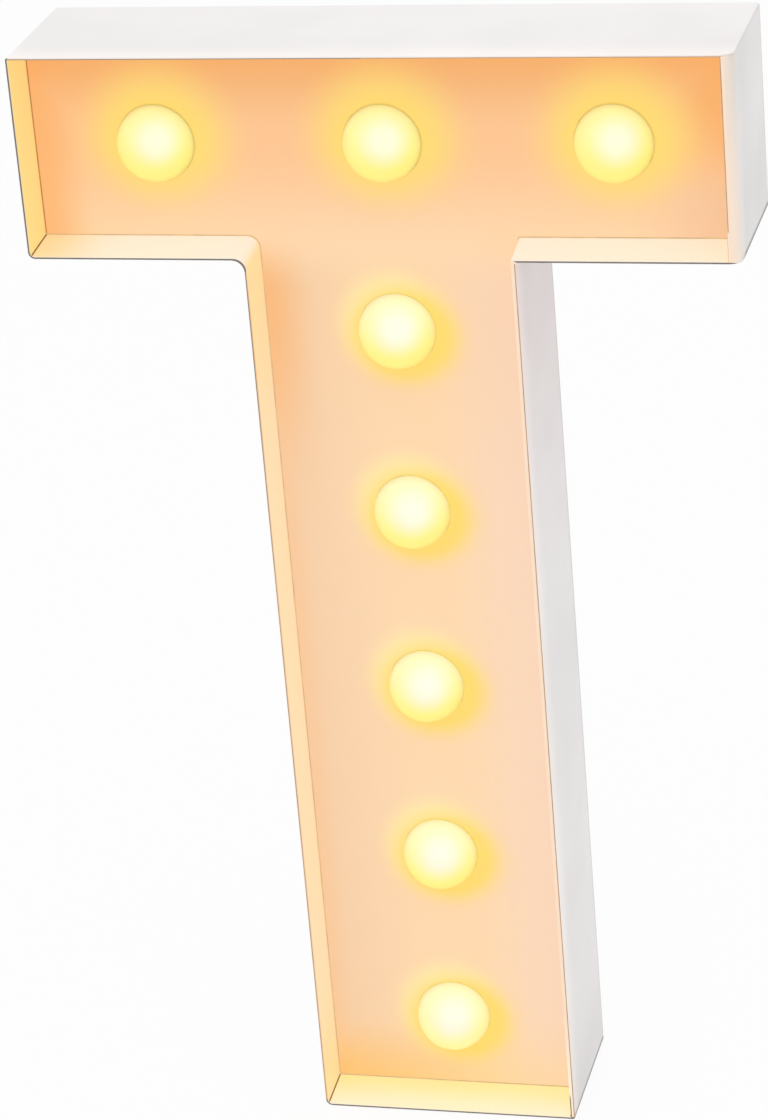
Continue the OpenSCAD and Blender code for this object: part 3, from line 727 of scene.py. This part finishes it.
def quarter(centre, radius, start_deg, steps):
    """Points of a quarter turn in the plane of inset and depth."""
    turns = [math.radians(start_deg + 90 * i / steps) for i in range(steps + 1)]
    return [(centre[0] + radius * math.cos(t), centre[1] + radius * math.sin(t)) for t in turns]


def new_piece(name, bm, materials, body="letter", place=(0, 0, 0)):
    """Turns a bmesh into a shown piece that rides on a body."""
    bmesh.ops.recalc_face_normals(bm, faces=bm.faces)
    mesh = bpy.data.meshes.new(name)
    bm.to_mesh(mesh)
    bm.free()
    for material in materials:
        mesh.materials.append(material)
    piece = bpy.data.objects.new(name, mesh)
    piece.location = place
    bpy.context.scene.collection.objects.link(piece)
    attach(piece, body)
    return piece


def smooth_faces(piece, sharp_deg=35):
    """Shades a piece smooth, apart from edges that turn by more than so many degrees."""
    mesh = piece.data
    mesh.shade_smooth()
    mesh.set_sharp_from_angle(angle=math.radians(sharp_deg))
    weighted = piece.modifiers.new("face_weighted_normals", "WEIGHTED_NORMAL")
    weighted.keep_sharp = True


def stitch(bm, ring_a, ring_b, material):
    """Quads between two closed rings with as many points."""
    faces = []
    count = len(ring_a)
    for i in range(count):
        j = (i + 1) % count
        face = bm.faces.new((ring_a[i], ring_a[j], ring_b[j], ring_b[i]))
        face.material_index = material
        faces.append(face)
    return faces


def ring_edges(bm, ring):
    """The edges of a closed ring, made where they are missing."""
    pairs = [(ring[i], ring[i - 1]) for i in range(len(ring))]
    return [bm.edges.get(pair) or bm.edges.new(pair) for pair in pairs]


def fill_flat(bm, rings, material):
    """Fills the flat face that the first ring bounds and the others pierce."""
    edges = [edge for ring in rings for edge in ring_edges(bm, ring)]
    made = bmesh.ops.triangle_fill(bm, use_beauty=True, use_dissolve=False, edges=edges)
    for item in made["geom"]:
        if isinstance(item, bmesh.types.BMFace):
            item.material_index = material


def rim_bands(corner, on_arc):
    """The materials of the rim's faces on one stretch of the outline."""
    if corner == BAR_LOW_RIGHT or corner == BAR_TOP_RIGHT and on_arc:
        return RIM_BAR_LIP
    if corner == BAR_TOP_RIGHT:
        return RIM_BAR_TOP
    if corner == NECK_RIGHT and on_arc:
        return RIM_NECK_RIGHT
    if corner == NECK_LEFT and not on_arc:
        return RIM_STEM_LEFT
    if corner == FOOT_RIGHT and not on_arc:
        return RIM_STEM_RIGHT
    return RIM_PLAIN


def shell_rings(bm):
    """The shell's section swept round the letter, from the floor's back over the rim to its front.

    Returns the rings and, for each gap between two of them, the materials of its stretches.
    """
    r = EDGE_R
    back = LETTER_D - r
    section = [(WALL, FLOOR_BACK), (WALL, back)]
    section += quarter((WALL - r, back), r, 0, EDGE_STEPS)[1:]
    section += quarter((r, back), r, 90, EDGE_STEPS)
    section += quarter((RIM_R, RIM_R), RIM_R, 180, EDGE_STEPS)
    rim_flat = RIM_WALL - 2 * RIM_R
    section += [(RIM_R + rim_flat * i / RIM_STEPS, 0) for i in range(1, RIM_STEPS)]
    section += quarter((RIM_WALL - RIM_R, RIM_R), RIM_R, 270, EDGE_STEPS)
    wall_from = len(section) - 1
    rim_to = wall_from - EDGE_STEPS // 2
    rim_from = rim_to - RIM_STEPS - EDGE_STEPS
    groove_in = RECESS + GROOVE_D
    groove_edge = WALL + GROOVE_W
    section += [(WALL, RECESS), (WALL, groove_in), (groove_edge, groove_in), (groove_edge, RECESS)]
    groove_from = wall_from + 1

    rings = []
    for inset, depth in section:
        outline = letter_outline(inset, front=depth < FLOOR_BACK)
        places = [(p.x, FRONT_Y + depth + lip_fall(p.x, depth), p.y) for p in outline]
        rings.append([bm.verts.new(place) for place in places])

    def look(k, corner, on_arc):
        if k < rim_from:
            return OUT
        if k < rim_to:
            return rim_bands(corner, on_arc)[k - rim_from]
        if k >= groove_from:
            return SEAM if corner == BAR_TOP_LEFT else SEAM_PALE
        lined = k >= wall_from and on_arc and corner in LINED_CORNERS
        return CORNER_SHADE if lined else LIT

    looks = [[look(k, *part) for part in outline_parts()] for k in range(len(rings) - 1)]
    return rings, looks


def make_tray(*materials):
    """The front shell: outer walls, rounded rim, drafted inner walls and the pierced floor."""
    bm = bmesh.new()
    rings, looks = shell_rings(bm)
    for ring_a, ring_b, row in zip(rings, rings[1:], looks):
        for face, material in zip(stitch(bm, ring_a, ring_b, OUT), row):
            face.material_index = material

    hole_r = DOME_R + DOME_GAP
    turns = [2 * math.pi * i / ROUND_STEPS for i in range(ROUND_STEPS)]
    fronts = []
    backs = []
    for x, z in dome_places:
        spots = [(x + hole_r * math.cos(t), z + hole_r * math.sin(t)) for t in turns]
        front, back = [
            [bm.verts.new((spot_x, FRONT_Y + depth, spot_z)) for spot_x, spot_z in spots]
            for depth in (RECESS, FLOOR_BACK)
        ]
        stitch(bm, front, back, LIT)
        fronts.append(front)
        backs.append(back)
    fill_flat(bm, [rings[-1], *fronts], LIT)
    fill_flat(bm, [rings[0], *backs], OUT)
    tray = new_piece("front_tray", bm, materials)
    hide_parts("front_shell")
    smooth_faces(tray)


# The domes

def turn(bm, profile, place, steps=ROUND_STEPS):
    """Adds a shape turned about Y: the profile gives radii, and depths behind the place."""
    turns = [2 * math.pi * i / steps for i in range(steps)]
    rings = []
    for radius, depth in profile:
        if radius == 0:
            rings.append([bm.verts.new(place + Vector((0, depth, 0)))])
            continue
        spokes = [Vector((radius * math.cos(t), depth, radius * math.sin(t))) for t in turns]
        rings.append([bm.verts.new(place + spoke) for spoke in spokes])
    for a, b in zip(rings, rings[1:]):
        if len(a) == 1 or len(b) == 1:
            pole, ring = (a, b) if len(a) == 1 else (b, a)
            for i in range(steps):
                bm.faces.new((pole[0], ring[i], ring[(i + 1) % steps]))
        else:
            stitch(bm, a, b, 0)


def make_domes(bar_plastic, stem_plastic, foot_plastic):
    """Eight frosted caps, each with a flange behind the floor. The one by the foot is the palest."""
    inner_r = DOME_R - DOME_WALL
    foot_r = DOME_R + DOME_FOOT
    back = FLOOR_T + FLANGE_T
    turns = [math.pi / 2 * i / DOME_STEPS for i in range(DOME_STEPS + 1)]
    outer = [(DOME_R * math.sin(t), -DOME_R * math.cos(t)) for t in turns]
    inner = [(inner_r * math.sin(t), -inner_r * math.cos(t)) for t in reversed(turns)]
    foot = [(DOME_R + DOME_FOOT / 3, -DOME_FOOT), (foot_r, 0), (foot_r, FLOOR_T)]
    flange = [(FLANGE_R, FLOOR_T), (FLANGE_R, back), (inner_r, back)]
    plastics = [bar_plastic] * 3 + [stem_plastic] * 4 + [foot_plastic]
    for name, (x, z), plastic in zip(DOME_NAMES, dome_places, plastics):
        bm = bmesh.new()
        turn(bm, outer[:-1] + foot + flange + inner, Vector((0, 0, 0)))
        cap = new_piece("cap_" + name, bm, [plastic], place=(x, FLOOR_Y, z))
        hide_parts("dome_" + name)
        smooth_faces(cap)


# The back: its sizes across and up, and depths from the front

COVER_IN = LETTER_D - 1.8 * MM
COVER_GAP = 0.15 * MM
COVER_SKIN = 0.5 * MM
BACK_LIP = 0.2 * MM
BACK_LIP_STEPS = 3
BACK_LIP_TURN = 0.5
FINE_STEPS = 48
SCREW_INSET = 8 * MM
SCREW_DROP = 20 * MM
SCREW_SEAT = LETTER_D - 2.4 * MM
SCREW_TURNS_DEG = (12, 71, 38, 55, 83, 24)
WELL_R = 2.8 * MM
POST_R = 4 * MM
POST_IN = LETTER_D - 4 * MM
SHANK_R = 1.2 * MM
SHANK_L = 8 * MM
HEAD_R = 2.4 * MM
HEAD_H = 1.6 * MM
KEYHOLE_Z = LETTER_H - 16 * MM
KEYHOLE_R = 4 * MM
KEYHOLE_SLOT = 4 * MM
KEYHOLE_RISE = 7 * MM

BAY_W = 29.2 * MM
BAY_WALL = 1 * MM
BAY_LOW = 24 * MM
BAY_HIGH = 80.3 * MM
BAY_IN = 13.8 * MM
DOOR_LAP = 2 * MM
DOOR_W = BAY_W + 2 * DOOR_LAP
DOOR_LOW = BAY_LOW - DOOR_LAP
DOOR_OUT = LETTER_D - 0.1 * MM
DOOR_IN = DOOR_OUT - 1.4 * MM
DOOR_GAP = 0.25 * MM
SEAT_GAP = 0.2 * MM
KNUCKLE_R = 1.2 * MM
HINGE_Z = BAY_HIGH + DOOR_LAP + KNUCKLE_R
HINGE_D = DOOR_OUT - 0.05 * MM - KNUCKLE_R
PIN_R = 0.7 * MM
PIN_L = 1.8 * MM
PIN_GAP = 0.08 * MM
PIN_WALL = 1 * MM
NOTCH_R = 5 * MM
TONGUE_W = 12 * MM
TONGUE_L = 8 * MM
TONGUE_SLIT = 0.6 * MM
NOSE_SIDE = 1 * MM
NOSE_H = 0.2 * MM
NOSE_T = 0.5 * MM
GRIPS = 4
GRIP_W = 0.6 * MM
GRIP_D = 0.4 * MM
GRIP_SIDE = 2 * MM

SWITCH_Z = 112 * MM
POCKET_W = 15 * MM
POCKET_H = 9 * MM
POCKET_D = 3.2 * MM
POCKET_WALL = 1.2 * MM
SLOT_W = 8.4 * MM
SLOT_H = 3.4 * MM
MARK_X = 2 * MM
MARK_H = 3 * MM
MARK_LINE = 0.6 * MM
MARK_D = 0.4 * MM
MARK_Z = SWITCH_Z + POCKET_H / 2 + 1.5 * MM + MARK_H / 2

# How far a cutter reaches past a face, and what counts as the same place
OVER = 1 * MM
SAME = 0.001 * MM
MERGE = 0.0005 * MM


def circle(x, z, radius):
    """Points of a circle as seen from the front."""
    turns = [2 * math.pi * i / FINE_STEPS for i in range(FINE_STEPS)]
    return [(x + radius * math.cos(t), z + radius * math.sin(t)) for t in turns]


def oblong(x, width, low, high):
    """Corners of an upright rectangle."""
    left = x - width / 2
    right = x + width / 2
    return [(left, low), (right, low), (right, high), (left, high)]


def close_rings(bm, rings):
    """Adds the sides and the two ends of a closed solid."""
    stitch(bm, rings[0], rings[1], 0)
    for ring in rings:
        bm.faces.new(ring)


def slab(bm, points, depth_a, depth_b):
    """Adds a closed solid that fills an outline from one depth to another."""
    rings = []
    for depth in (depth_a, depth_b):
        rings.append([bm.verts.new((x, FRONT_Y + depth, z)) for x, z in points])
    close_rings(bm, rings)


def rod(bm, length, depth, z, radius):
    """Adds a closed round rod across the middle, along X."""
    rings = []
    for x in (-length / 2, length / 2):
        spots = circle(FRONT_Y + depth, z, radius)
        rings.append([bm.verts.new((x, spot_y, spot_z)) for spot_y, spot_z in spots])
    close_rings(bm, rings)


def carve(solids, cutters):
    """Joins overlapping closed solids, cuts others out of them and returns the result."""
    made = []
    for name, bm in (("solids", solids), ("cutters", cutters)):
        bmesh.ops.recalc_face_normals(bm, faces=bm.faces)
        mesh = bpy.data.meshes.new(name)
        bm.to_mesh(mesh)
        bm.free()
        made.append(bpy.data.objects.new(name, mesh))
        bpy.context.scene.collection.objects.link(made[-1])
    cut = made[0].modifiers.new("cut", "BOOLEAN")
    cut.operation = "DIFFERENCE"
    cut.solver = "EXACT"
    cut.use_self = True
    cut.object = made[1]
    bpy.context.view_layer.update()
    shaped = made[0].evaluated_get(bpy.context.evaluated_depsgraph_get())
    result = bmesh.new()
    result.from_mesh(shaped.data)
    for item in made:
        mesh = item.data
        bpy.data.objects.remove(item)
        bpy.data.meshes.remove(mesh)
    bmesh.ops.remove_doubles(result, verts=result.verts, dist=MERGE)
    return result


def in_marks(place):
    """Whether a place lies where the switch's marks are."""
    return abs(place.z - MARK_Z) < MARK_H and abs(place.x) < 2 * MARK_X


def round_lip(bm, depth):
    """Rounds the edges that bound the flat outer face at a depth, apart from the small marks."""
    y = FRONT_Y + depth
    edges = []
    for edge in bm.edges:
        level = all(abs(vert.co.y - y) < SAME for vert in edge.verts)
        if not level or in_marks(edge.verts[0].co):
            continue
        if edge.is_manifold and edge.calc_face_angle() > BACK_LIP_TURN:
            edges.append(edge)
    bmesh.ops.bevel(
        bm,
        geom=edges,
        offset=BACK_LIP,
        segments=BACK_LIP_STEPS,
        profile=0.5,
        affect="EDGES",
        clamp_overlap=False,
    )


def screw_places():
    """Where the cover's screws are, across and up."""
    bar_x = LETTER_W / 2 - SCREW_INSET
    stem_x = STEM_W / 2 - SCREW_INSET
    places = ((bar_x, LETTER_H - BAR_H / 2), (stem_x, NECK_Z - SCREW_DROP), (stem_x, SCREW_INSET))
    return [(side * x, z) for side in (-1, 1) for x, z in places]


def cut_marks(bm):
    """Cuts a stroke and a ring into the cover above the switch, and gives them the second material."""
    mark_in = LETTER_D - MARK_D
    ring_r = MARK_H / 2
    hole_r = ring_r - MARK_LINE
    marks = bmesh.new()
    stroke = oblong(MARK_X, MARK_LINE, MARK_Z - MARK_H / 2, MARK_Z + MARK_H / 2)
    slab(marks, stroke, mark_in, LETTER_D + OVER)
    ring = [(ring_r, -MARK_D), (hole_r, -MARK_D), (hole_r, OVER), (ring_r, OVER), (ring_r, -MARK_D)]
    turn(marks, ring, Vector((-MARK_X, FRONT_Y + LETTER_D, MARK_Z)), FINE_STEPS)
    bmesh.ops.remove_doubles(marks, verts=marks.verts, dist=MERGE)
    bm = carve(bm, marks)
    round_lip(bm, LETTER_D)
    for face in bm.faces:
        centre = face.calc_center_median()
        sunk = mark_in - 10 * SAME < centre.y - FRONT_Y < LETTER_D - 10 * SAME
        if in_marks(centre) and sunk:
            face.material_index = 1
    return bm


def make_cover(white, mark_ink):
    """The flush back cover: screw wells, keyhole, switch pocket with marks, and the cell bay."""
    out = LETTER_D + OVER
    under_skin = LETTER_D - COVER_SKIN
    solids = bmesh.new()
    slab(solids, letter_outline(WALL + COVER_GAP), COVER_IN, LETTER_D)
    cutters = bmesh.new()
    for x, z in screw_places():
        slab(solids, circle(x, z, POST_R), POST_IN, under_skin)
        slab(cutters, circle(x, z, WELL_R), SCREW_SEAT, out)
        slab(cutters, circle(x, z, SHANK_R + SEAT_GAP), POST_IN - OVER, LETTER_D)

    room_w = DOOR_W + 2 * DOOR_GAP
    room_high = HINGE_Z + KNUCKLE_R + DOOR_GAP
    room_low = DOOR_LOW - DOOR_GAP
    side = PIN_L + PIN_WALL
    seat = oblong(0, room_w + 2 * side, room_low - NOTCH_R - BAY_WALL, room_high + side)
    slab(solids, seat, POST_IN, under_skin)
    bay = oblong(0, BAY_W + 2 * BAY_WALL, BAY_LOW - BAY_WALL, BAY_HIGH + BAY_WALL)
    slab(solids, bay, BAY_IN, under_skin)
    slab(cutters, oblong(0, BAY_W, BAY_LOW, BAY_HIGH), BAY_IN + BAY_WALL, out)
    slab(cutters, oblong(0, room_w, room_low, HINGE_Z), DOOR_IN - SEAT_GAP, out)
    slab(cutters, oblong(0, room_w, HINGE_Z - OVER, room_high), HINGE_D, out)
    rod(cutters, room_w, HINGE_D, HINGE_Z, KNUCKLE_R + DOOR_GAP)
    rod(cutters, DOOR_W + 2 * (PIN_L + DOOR_GAP), HINGE_D, HINGE_Z, PIN_R + PIN_GAP)
    slab(cutters, circle(0, room_low, NOTCH_R), DOOR_IN, out)

    pocket_in = LETTER_D - POCKET_D - POCKET_WALL
    low = SWITCH_Z - POCKET_H / 2
    high = SWITCH_Z + POCKET_H / 2
    pocket = oblong(0, POCKET_W + 2 * POCKET_WALL, low - POCKET_WALL, high + POCKET_WALL)
    slab(solids, pocket, pocket_in, under_skin)
    slab(cutters, oblong(0, POCKET_W, low, high), LETTER_D - POCKET_D, out)
    slider_slot = oblong(0, SLOT_W, SWITCH_Z - SLOT_H / 2, SWITCH_Z + SLOT_H / 2)
    slab(cutters, slider_slot, pocket_in - OVER, LETTER_D)

    keyhole_top = KEYHOLE_Z + KEYHOLE_RISE
    slab(cutters, circle(0, KEYHOLE_Z, KEYHOLE_R), COVER_IN - OVER, out)
    slab(cutters, circle(0, keyhole_top, KEYHOLE_SLOT / 2), COVER_IN - OVER, out)
    slab(cutters, oblong(0, KEYHOLE_SLOT, KEYHOLE_Z, keyhole_top), COVER_IN - OVER, out)
    bm = cut_marks(carve(solids, cutters))
    cover = new_piece("rear_cover", bm, [white, mark_ink])
    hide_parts("back_cover")
    smooth_faces(cover)


def make_door(white):
    """The battery door, with its hinge knuckle and pins, and a sprung tongue with grip lines."""
    out = DOOR_OUT + OVER
    solids = bmesh.new()
    slab(solids, oblong(0, DOOR_W, DOOR_LOW, HINGE_Z), DOOR_IN, DOOR_OUT)
    rod(solids, DOOR_W, HINGE_D, HINGE_Z, KNUCKLE_R)
    rod(solids, DOOR_W + 2 * PIN_L, HINGE_D, HINGE_Z, PIN_R)
    nose = oblong(0, TONGUE_W - 2 * NOSE_SIDE, DOOR_LOW - NOSE_H, DOOR_LOW + NOSE_T)
    slab(solids, nose, DOOR_IN + NOSE_T, DOOR_IN + 2 * NOSE_T)
    cutters = bmesh.new()
    for side in (-1, 1):
        slit_x = side * (TONGUE_W + TONGUE_SLIT) / 2
        slit = oblong(slit_x, TONGUE_SLIT, DOOR_LOW - OVER, DOOR_LOW + TONGUE_L)
        slab(cutters, slit, DOOR_IN - OVER, out)
    for i in range(1, GRIPS + 1):
        z = DOOR_LOW + i * TONGUE_L / (GRIPS + 1)
        grip = oblong(0, TONGUE_W - 2 * GRIP_SIDE, z - GRIP_W / 2, z + GRIP_W / 2)
        slab(cutters, grip, DOOR_OUT - GRIP_D, out)
    bm = carve(solids, cutters)
    round_lip(bm, DOOR_OUT)
    door = new_piece("cell_door", bm, [white], body="door")
    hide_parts("battery_door")
    smooth_faces(door)


def make_screws(steel):
    """Six cross-head screws, each turned as it happened to stop."""
    crown = [(1.0, 0.0), (0.96, 0.2), (0.9, 0.55), (0.8, 0.85), (0.62, 0.98), (0.0, 1.0)]
    profile = [(0, -SHANK_L), (SHANK_R, -SHANK_L), (SHANK_R, 0)]
    profile += [(HEAD_R * r, HEAD_H * h) for r, h in crown]
    cross = oblong(0, HEAD_R * 4 / 3, -HEAD_R / 6, HEAD_R / 6)
    solids = bmesh.new()
    cutters = bmesh.new()
    for (x, z), turn_deg in zip(screw_places(), SCREW_TURNS_DEG):
        turn(solids, profile, Vector((x, FRONT_Y + SCREW_SEAT, z)), FINE_STEPS)
        for quarter_turn in (0, 90):
            angle = math.radians(turn_deg + quarter_turn)
            c, s = math.cos(angle), math.sin(angle)
            points = [(x + c * u - s * v, z + s * u + c * v) for u, v in cross]
            slab(cutters, points, SCREW_SEAT + HEAD_H / 2, SCREW_SEAT + 2 * HEAD_H)
    screws = new_piece("cover_screw_set", carve(solids, cutters), [steel])
    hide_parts("cover_screws")
    smooth_faces(screws)


# Pieces that keep the shape of their solids

SLIDER_EDGE = 0.12 * MM
SLIDER_EDGE_STEPS = 2


def soften(piece, width, segments):
    """Rounds the hard edges of a piece."""
    weld = piece.modifiers.new("weld", "WELD")
    weld.merge_threshold = SAME
    flat = piece.modifiers.new("join_flat_faces", "DECIMATE")
    flat.decimate_type = "DISSOLVE"
    flat.angle_limit = math.radians(1)
    round_edges = piece.modifiers.new("round_edges", "BEVEL")
    round_edges.width = width
    round_edges.segments = segments
    round_edges.limit_method = "ANGLE"
    round_edges.angle_limit = math.radians(40)
    round_edges.harden_normals = True


def dress(material, *names):
    """Gives pieces a material."""
    for name in names:
        for slot in nodes[name].material_slots:
            slot.material = material


def dress_inside(steel):
    """Finishes for the switch, the boards, the lamps, the cells, the contacts and the wires."""
    plated = metal("nickel_plate", (0.68, 0.66, 0.62, 1), (0.56, 0.54, 0.5, 1), 0.2, 0.35)
    solder = metal("solder", (0.34, 0.34, 0.35, 1), (0.26, 0.26, 0.27, 1), 0.4, 0.55)
    grey = plain_plastic("slider_grey", tone(62, 62, 64), tone(52, 52, 54), 0.4, 0.5, COARSE_GRAIN)
    brown = plain_plastic("phenolic", tone(120, 72, 40), tone(104, 62, 36), 0.45, 0.6, COARSE_GRAIN)
    black = plain_plastic("chip_black", tone(34, 34, 34), tone(26, 26, 26), 0.3, 0.45, FINE_GRAIN)
    red = plain_plastic("wire_red", tone(186, 32, 28), tone(170, 26, 24), 0.35, 0.5, FINE_GRAIN)
    dark = plain_plastic("wire_black", tone(36, 36, 38), tone(28, 28, 30), 0.35, 0.5, FINE_GRAIN)
    dress(steel, "switch_screws", "switch_frame")
    dress(plated, "switch_terminals", "spring_lower", "spring_upper")
    dress(plated, "contact_bridge", "contact_positive", "contact_negative")
    dress(solder, "led_leads")
    dress(grey, "switch_slider")
    dress(brown, "switch_base")
    dress(black, "resistors")
    dress(board_mask("board_mask"), "bar_board", "stem_board")
    dress(cell_wrap("cell_wrap"), "cell_left", "cell_right")
    dress(red, "wire_positive", "wire_switched", "wire_link_positive")
    dress(dark, "wire_negative", "wire_link_negative")
    dress(led_glow("led_glow"), *["led_" + name for name in DOME_NAMES])
    soften(nodes["switch_slider"], SLIDER_EDGE, SLIDER_EDGE_STEPS)


# Stage

FLOOR_SIZE = 12.0
FLOOR_DROP = 0.2 * MM
FLOOR_PAINT = (0.93, 0.93, 0.93, 1)
FLOOR_WHITE = 0.92
WORLD_LIGHT = 0.79
KEY_POWER = 2.9
KEY_SIZE = 1.2
KEY_PLACE = Vector((0.1, -0.25, 1.25))
KEY_AIM = Vector((0, 0, LETTER_H))
CAMERA_PLACE = Vector((186.4, -707.9, 443.1)) * MM
CAMERA_AIM = Vector((-8.0, 0, 114.0)) * MM
CAMERA_ROLL_DEG = 4.95
LENS_MM = 89.64
SENSOR_MM = 24.0


def seen_rays(tree):
    """1 on rays that show the background itself: from the camera, off gloss or through glass."""
    path = tree.nodes.new("ShaderNodeLightPath")
    total = path.outputs["Is Camera Ray"]
    for name in ("Is Glossy Ray", "Is Transmission Ray"):
        larger = tree.nodes.new("ShaderNodeMath")
        larger.operation = "MAXIMUM"
        tree.links.new(total, larger.inputs[0])
        tree.links.new(path.outputs[name], larger.inputs[1])
        total = larger.outputs[0]
    return total


def make_floor():
    """A plain white floor, bright where it is seen, which keeps a faint shadow."""
    s = Shader("floor_white")
    material = s.finish(base_color=FLOOR_PAINT, roughness=1.0, specular_ior_level=0.0)
    shine = s.add("ShaderNodeEmission").outputs[0]
    share = s.times(seen_rays(s.tree), FLOOR_WHITE)
    mixed = s.add("ShaderNodeMixShader", {0: share, 1: s.surface.outputs[0], 2: shine})
    s.feed(s.tree.nodes["Material Output"].inputs["Surface"], mixed.outputs[0])

    bm = bmesh.new()
    half = FLOOR_SIZE / 2
    corners = [(-half, -half), (half, -half), (half, half), (-half, half)]
    bm.faces.new([bm.verts.new((x, y, -FLOOR_DROP)) for x, y in corners])
    mesh = bpy.data.meshes.new("floor")
    bm.to_mesh(mesh)
    bm.free()
    mesh.materials.append(material)
    floor = bpy.data.objects.new("floor", mesh)
    bpy.context.scene.collection.objects.link(floor)


def make_light():
    """An even white room and one large soft lamp overhead."""
    world = bpy.data.worlds.new("studio")
    bpy.context.scene.world = world
    world.use_nodes = True
    tree = world.node_tree
    background = tree.nodes["Background"]
    background.inputs["Color"].default_value = WHITE
    strength = tree.nodes.new("ShaderNodeMapRange")
    strength.inputs["To Min"].default_value = WORLD_LIGHT
    strength.inputs["To Max"].default_value = 1.0
    tree.links.new(seen_rays(tree), strength.inputs["Value"])
    tree.links.new(strength.outputs[0], background.inputs["Strength"])

    lamp = bpy.data.lights.new("key", "AREA")
    lamp.energy = KEY_POWER
    lamp.size = KEY_SIZE
    key = bpy.data.objects.new("key", lamp)
    key.location = KEY_PLACE
    key.rotation_mode = "QUATERNION"
    key.rotation_quaternion = (KEY_AIM - KEY_PLACE).to_track_quat("-Z", "Y")
    bpy.context.scene.collection.objects.link(key)


def make_camera():
    """The photograph's view: from above and the right, a little rolled."""
    data = bpy.data.cameras.new("camera")
    data.sensor_fit = "VERTICAL"
    data.sensor_height = SENSOR_MM
    data.lens = LENS_MM
    camera = bpy.data.objects.new("camera", data)
    facing = (CAMERA_AIM - CAMERA_PLACE).to_track_quat("-Z", "Y").to_matrix().to_4x4()
    roll = Matrix.Rotation(math.radians(-CAMERA_ROLL_DEG), 4, "Z")
    camera.matrix_world = Matrix.Translation(CAMERA_PLACE) @ facing @ roll
    bpy.context.scene.collection.objects.link(camera)
    bpy.context.scene.camera = camera


# The whole lamp on its stage

make_tray(
    plastic_outside("shell_white", SHELL_WHITE, SHELL_SHADE, SHELL_GRAIN),
    plastic_lit("tray_lit"),
    thin_line("seam_bar", SEAM_BAR_SHADE, SEAM_BAR_GLOW),
    thin_line("seam_stem", SEAM_STEM_SHADE, TRAY_GLOW),
    thin_line("corner_line", CORNER_SHADE_LINE, CORNER_GLOW),
    thin_line("rim_line", RIM_SHADE_LINE, 0.0),
    warm_rim_line("rim_line_warm"),
    rim_strip("rim_strip"),
)
make_domes(
    dome_plastic("dome_bar", CROWN_BAR, CORE_BAR, DOME_BAR_UPPER, DOME_BAR_LOWER, DOME_BAR_FOOT_SHADE),
    dome_plastic("dome_stem", CROWN_STEM, CORE_STEM, DOME_STEM_UPPER, DOME_STEM_LOWER, DOME_STEM_LINE),
    dome_plastic("dome_foot", CROWN_STEM, CORE_STEM, DOME_STEM_UPPER, DOME_FOOT_LOWER, DOME_STEM_LINE),
)
cover_white = plastic_outside("cover_white", COVER_WHITE, COVER_SHADE, COARSE_GRAIN)
mark_ink = plain_plastic("mark_ink", tone(96, 96, 98), tone(84, 84, 86), 0.6, 0.7, FINE_GRAIN)
zinc_steel = metal("zinc_steel", (0.62, 0.62, 0.64, 1), (0.5, 0.5, 0.52, 1), 0.25, 0.4)
make_cover(cover_white, mark_ink)
make_door(cover_white)
make_screws(zinc_steel)
dress_inside(zinc_steel)
make_floor()
make_light()
make_camera()
bpy.context.scene.view_settings.view_transform = "Standard"
